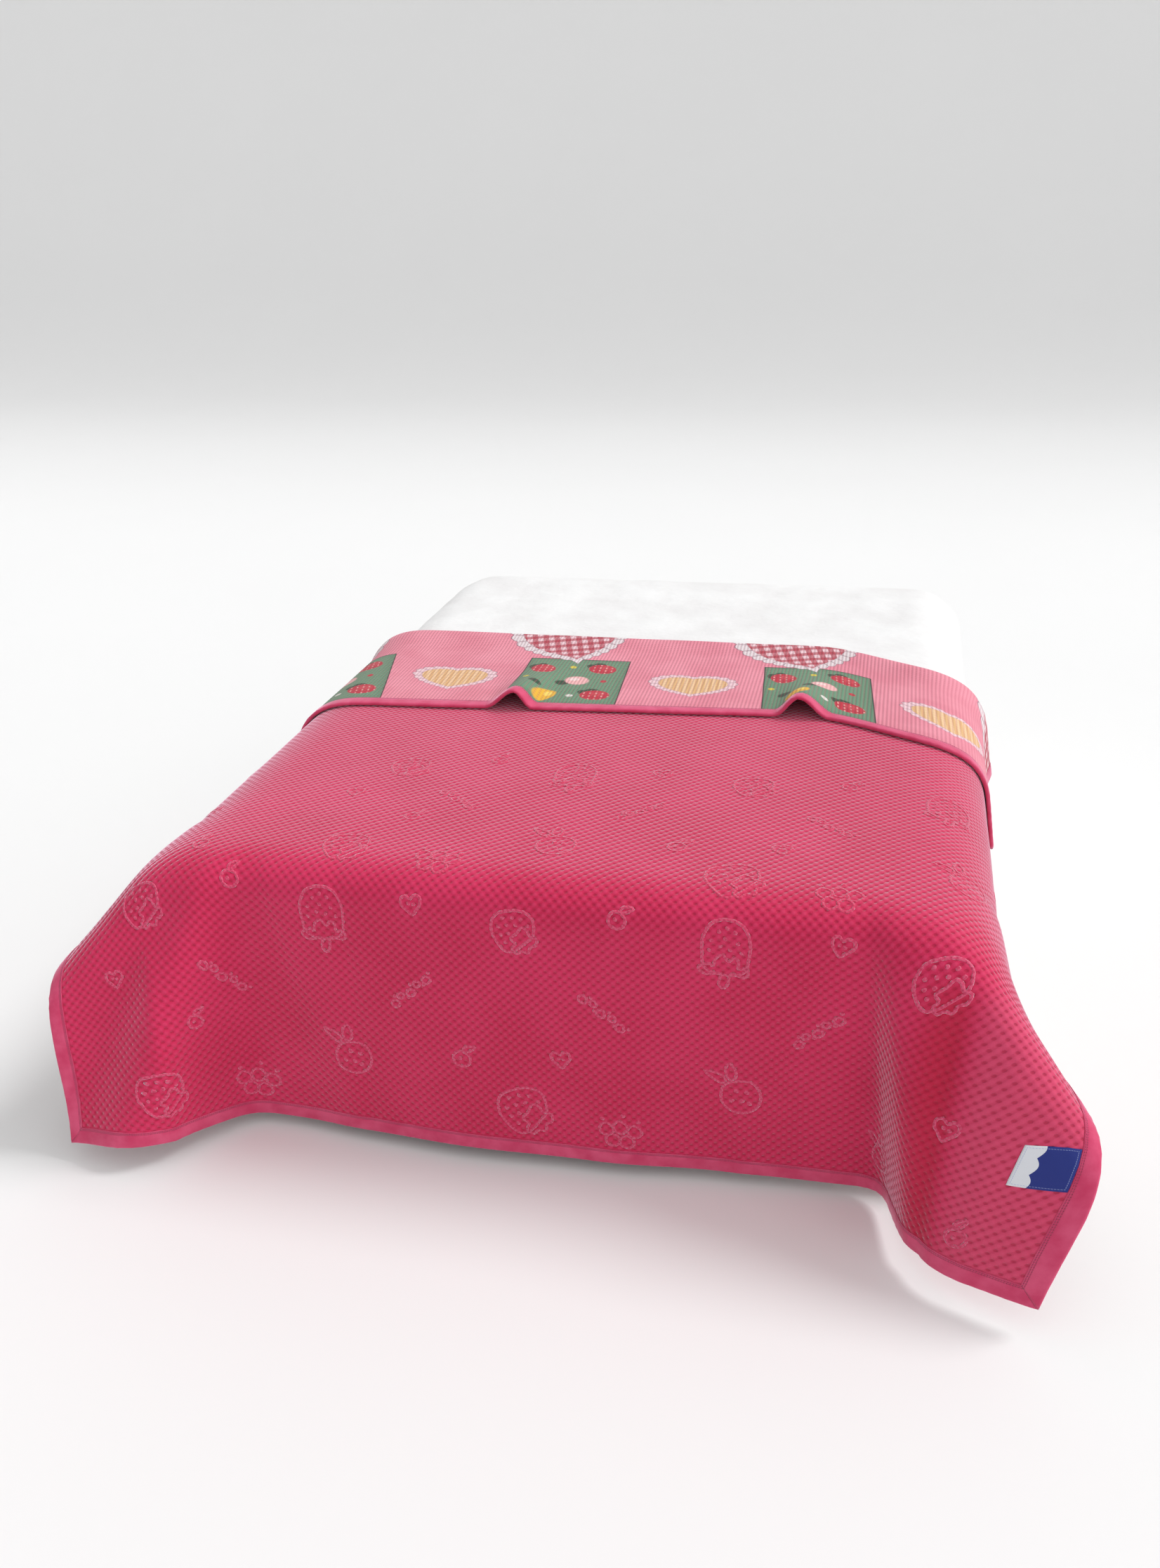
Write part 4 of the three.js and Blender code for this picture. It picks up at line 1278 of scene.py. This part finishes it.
def make_floor(material):
    """Floor that sweeps up into a backdrop on a quarter circle far behind the bed."""
    a = np.radians(np.linspace(0, 90, 13))
    profile = np.concatenate([
        [[-FLOOR_REACH, 0.0], [0.0, 0.0]],
        np.stack([SWEEP_START + SWEEP_RADIUS * np.sin(a), SWEEP_RADIUS * (1 - np.cos(a))], -1),
        [[SWEEP_START + SWEEP_RADIUS, BACKDROP_TOP]],
    ])
    points = np.zeros((len(profile), 2, 3))
    points[..., 0] = [-FLOOR_REACH, FLOOR_REACH]
    points[..., 1:] = profile[:, None] - [0, 0.0005]
    mesh = smooth_mesh("floor_sweep", points, [grid_faces(len(profile), 2)], [material])
    add_object("floor_sweep", mesh)


def light_scene():
    """A soft sky and a broad sun from the right, behind and above. The sky's strength is its
    level and its lean times the cosine to its brightest side, and never under its least."""
    world = bpy.data.worlds.new("soft_sky")
    world.use_nodes = True
    nodes, links = world.node_tree.nodes, world.node_tree.links
    where = nodes.new("ShaderNodeTexCoord")
    lean = nodes.new("ShaderNodeVectorMath")
    lean.operation = "DOT_PRODUCT"
    lean.inputs[1].default_value = SKY_SIDE
    links.new(where.outputs["Generated"], lean.inputs[0])
    strength = (Amount(nodes, links, lean.outputs["Value"]) * SKY_LEAN + SKY_LEVEL).most(SKY_LEAST)
    links.new(strength.socket, nodes["Background"].inputs["Strength"])
    nodes["Background"].inputs["Color"].default_value = (1, 1, 1, 1)
    bpy.context.scene.world = world
    light = bpy.data.lights.new("window", "SUN")
    light.energy = SUN_POWER
    light.angle = SUN_WIDTH
    add_object("window", light).rotation_euler = (-SUN_SIDE).to_track_quat("-Z", "Y").to_euler()


def set_tones():
    """Plain display tones, so that the deep pink keeps its strength."""
    bpy.context.scene.view_settings.view_transform = "Standard"
    bpy.context.scene.view_settings.look = "None"


def add_camera():
    """Camera from its fitted place, yaw, pitch and roll."""
    yaw, pitch, roll = CAMERA_YAW, CAMERA_PITCH, CAMERA_ROLL
    ahead = Vector((-math.sin(yaw) * math.cos(pitch), math.cos(yaw) * math.cos(pitch), -math.sin(pitch)))
    level = Vector((math.cos(yaw), math.sin(yaw), 0))
    upright = level.cross(ahead)
    right = level * math.cos(roll) + upright * math.sin(roll)
    up = upright * math.cos(roll) - level * math.sin(roll)
    camera = add_object("camera", bpy.data.cameras.new("camera"))
    camera.data.lens = CAMERA_LENS
    camera.data.sensor_width = 36
    camera.data.clip_end = CAMERA_SIGHT
    turn = Matrix((right, up, -ahead)).transposed().to_4x4()
    camera.matrix_world = Matrix.Translation(CAMERA_PLACE) @ turn
    bpy.context.scene.camera = camera


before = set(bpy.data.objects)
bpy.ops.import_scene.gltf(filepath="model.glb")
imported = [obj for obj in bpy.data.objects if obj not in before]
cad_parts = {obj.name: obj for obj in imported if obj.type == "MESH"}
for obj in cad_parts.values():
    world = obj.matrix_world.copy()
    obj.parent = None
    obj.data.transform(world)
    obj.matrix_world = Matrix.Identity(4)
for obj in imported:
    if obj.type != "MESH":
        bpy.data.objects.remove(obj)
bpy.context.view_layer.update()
add_camera()
set_tones()
light_scene()

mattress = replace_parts(make_mattress(cotton_finish()), "mattress")
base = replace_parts(make_base(upholstery_finish()), "bed_base")
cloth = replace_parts(make_cloth(plush_finish(), print_finish()), "bedspread_panel")
bindings = make_bindings(binding_finish())
for binding, node in zip(bindings, ("binding_foot", "binding_head", "binding_left", "binding_right")):
    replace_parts(binding, node)
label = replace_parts(make_label(label_finish()), "sewn_label")
outlines = make_outlines(outline_finish())
make_floor(floor_finish())
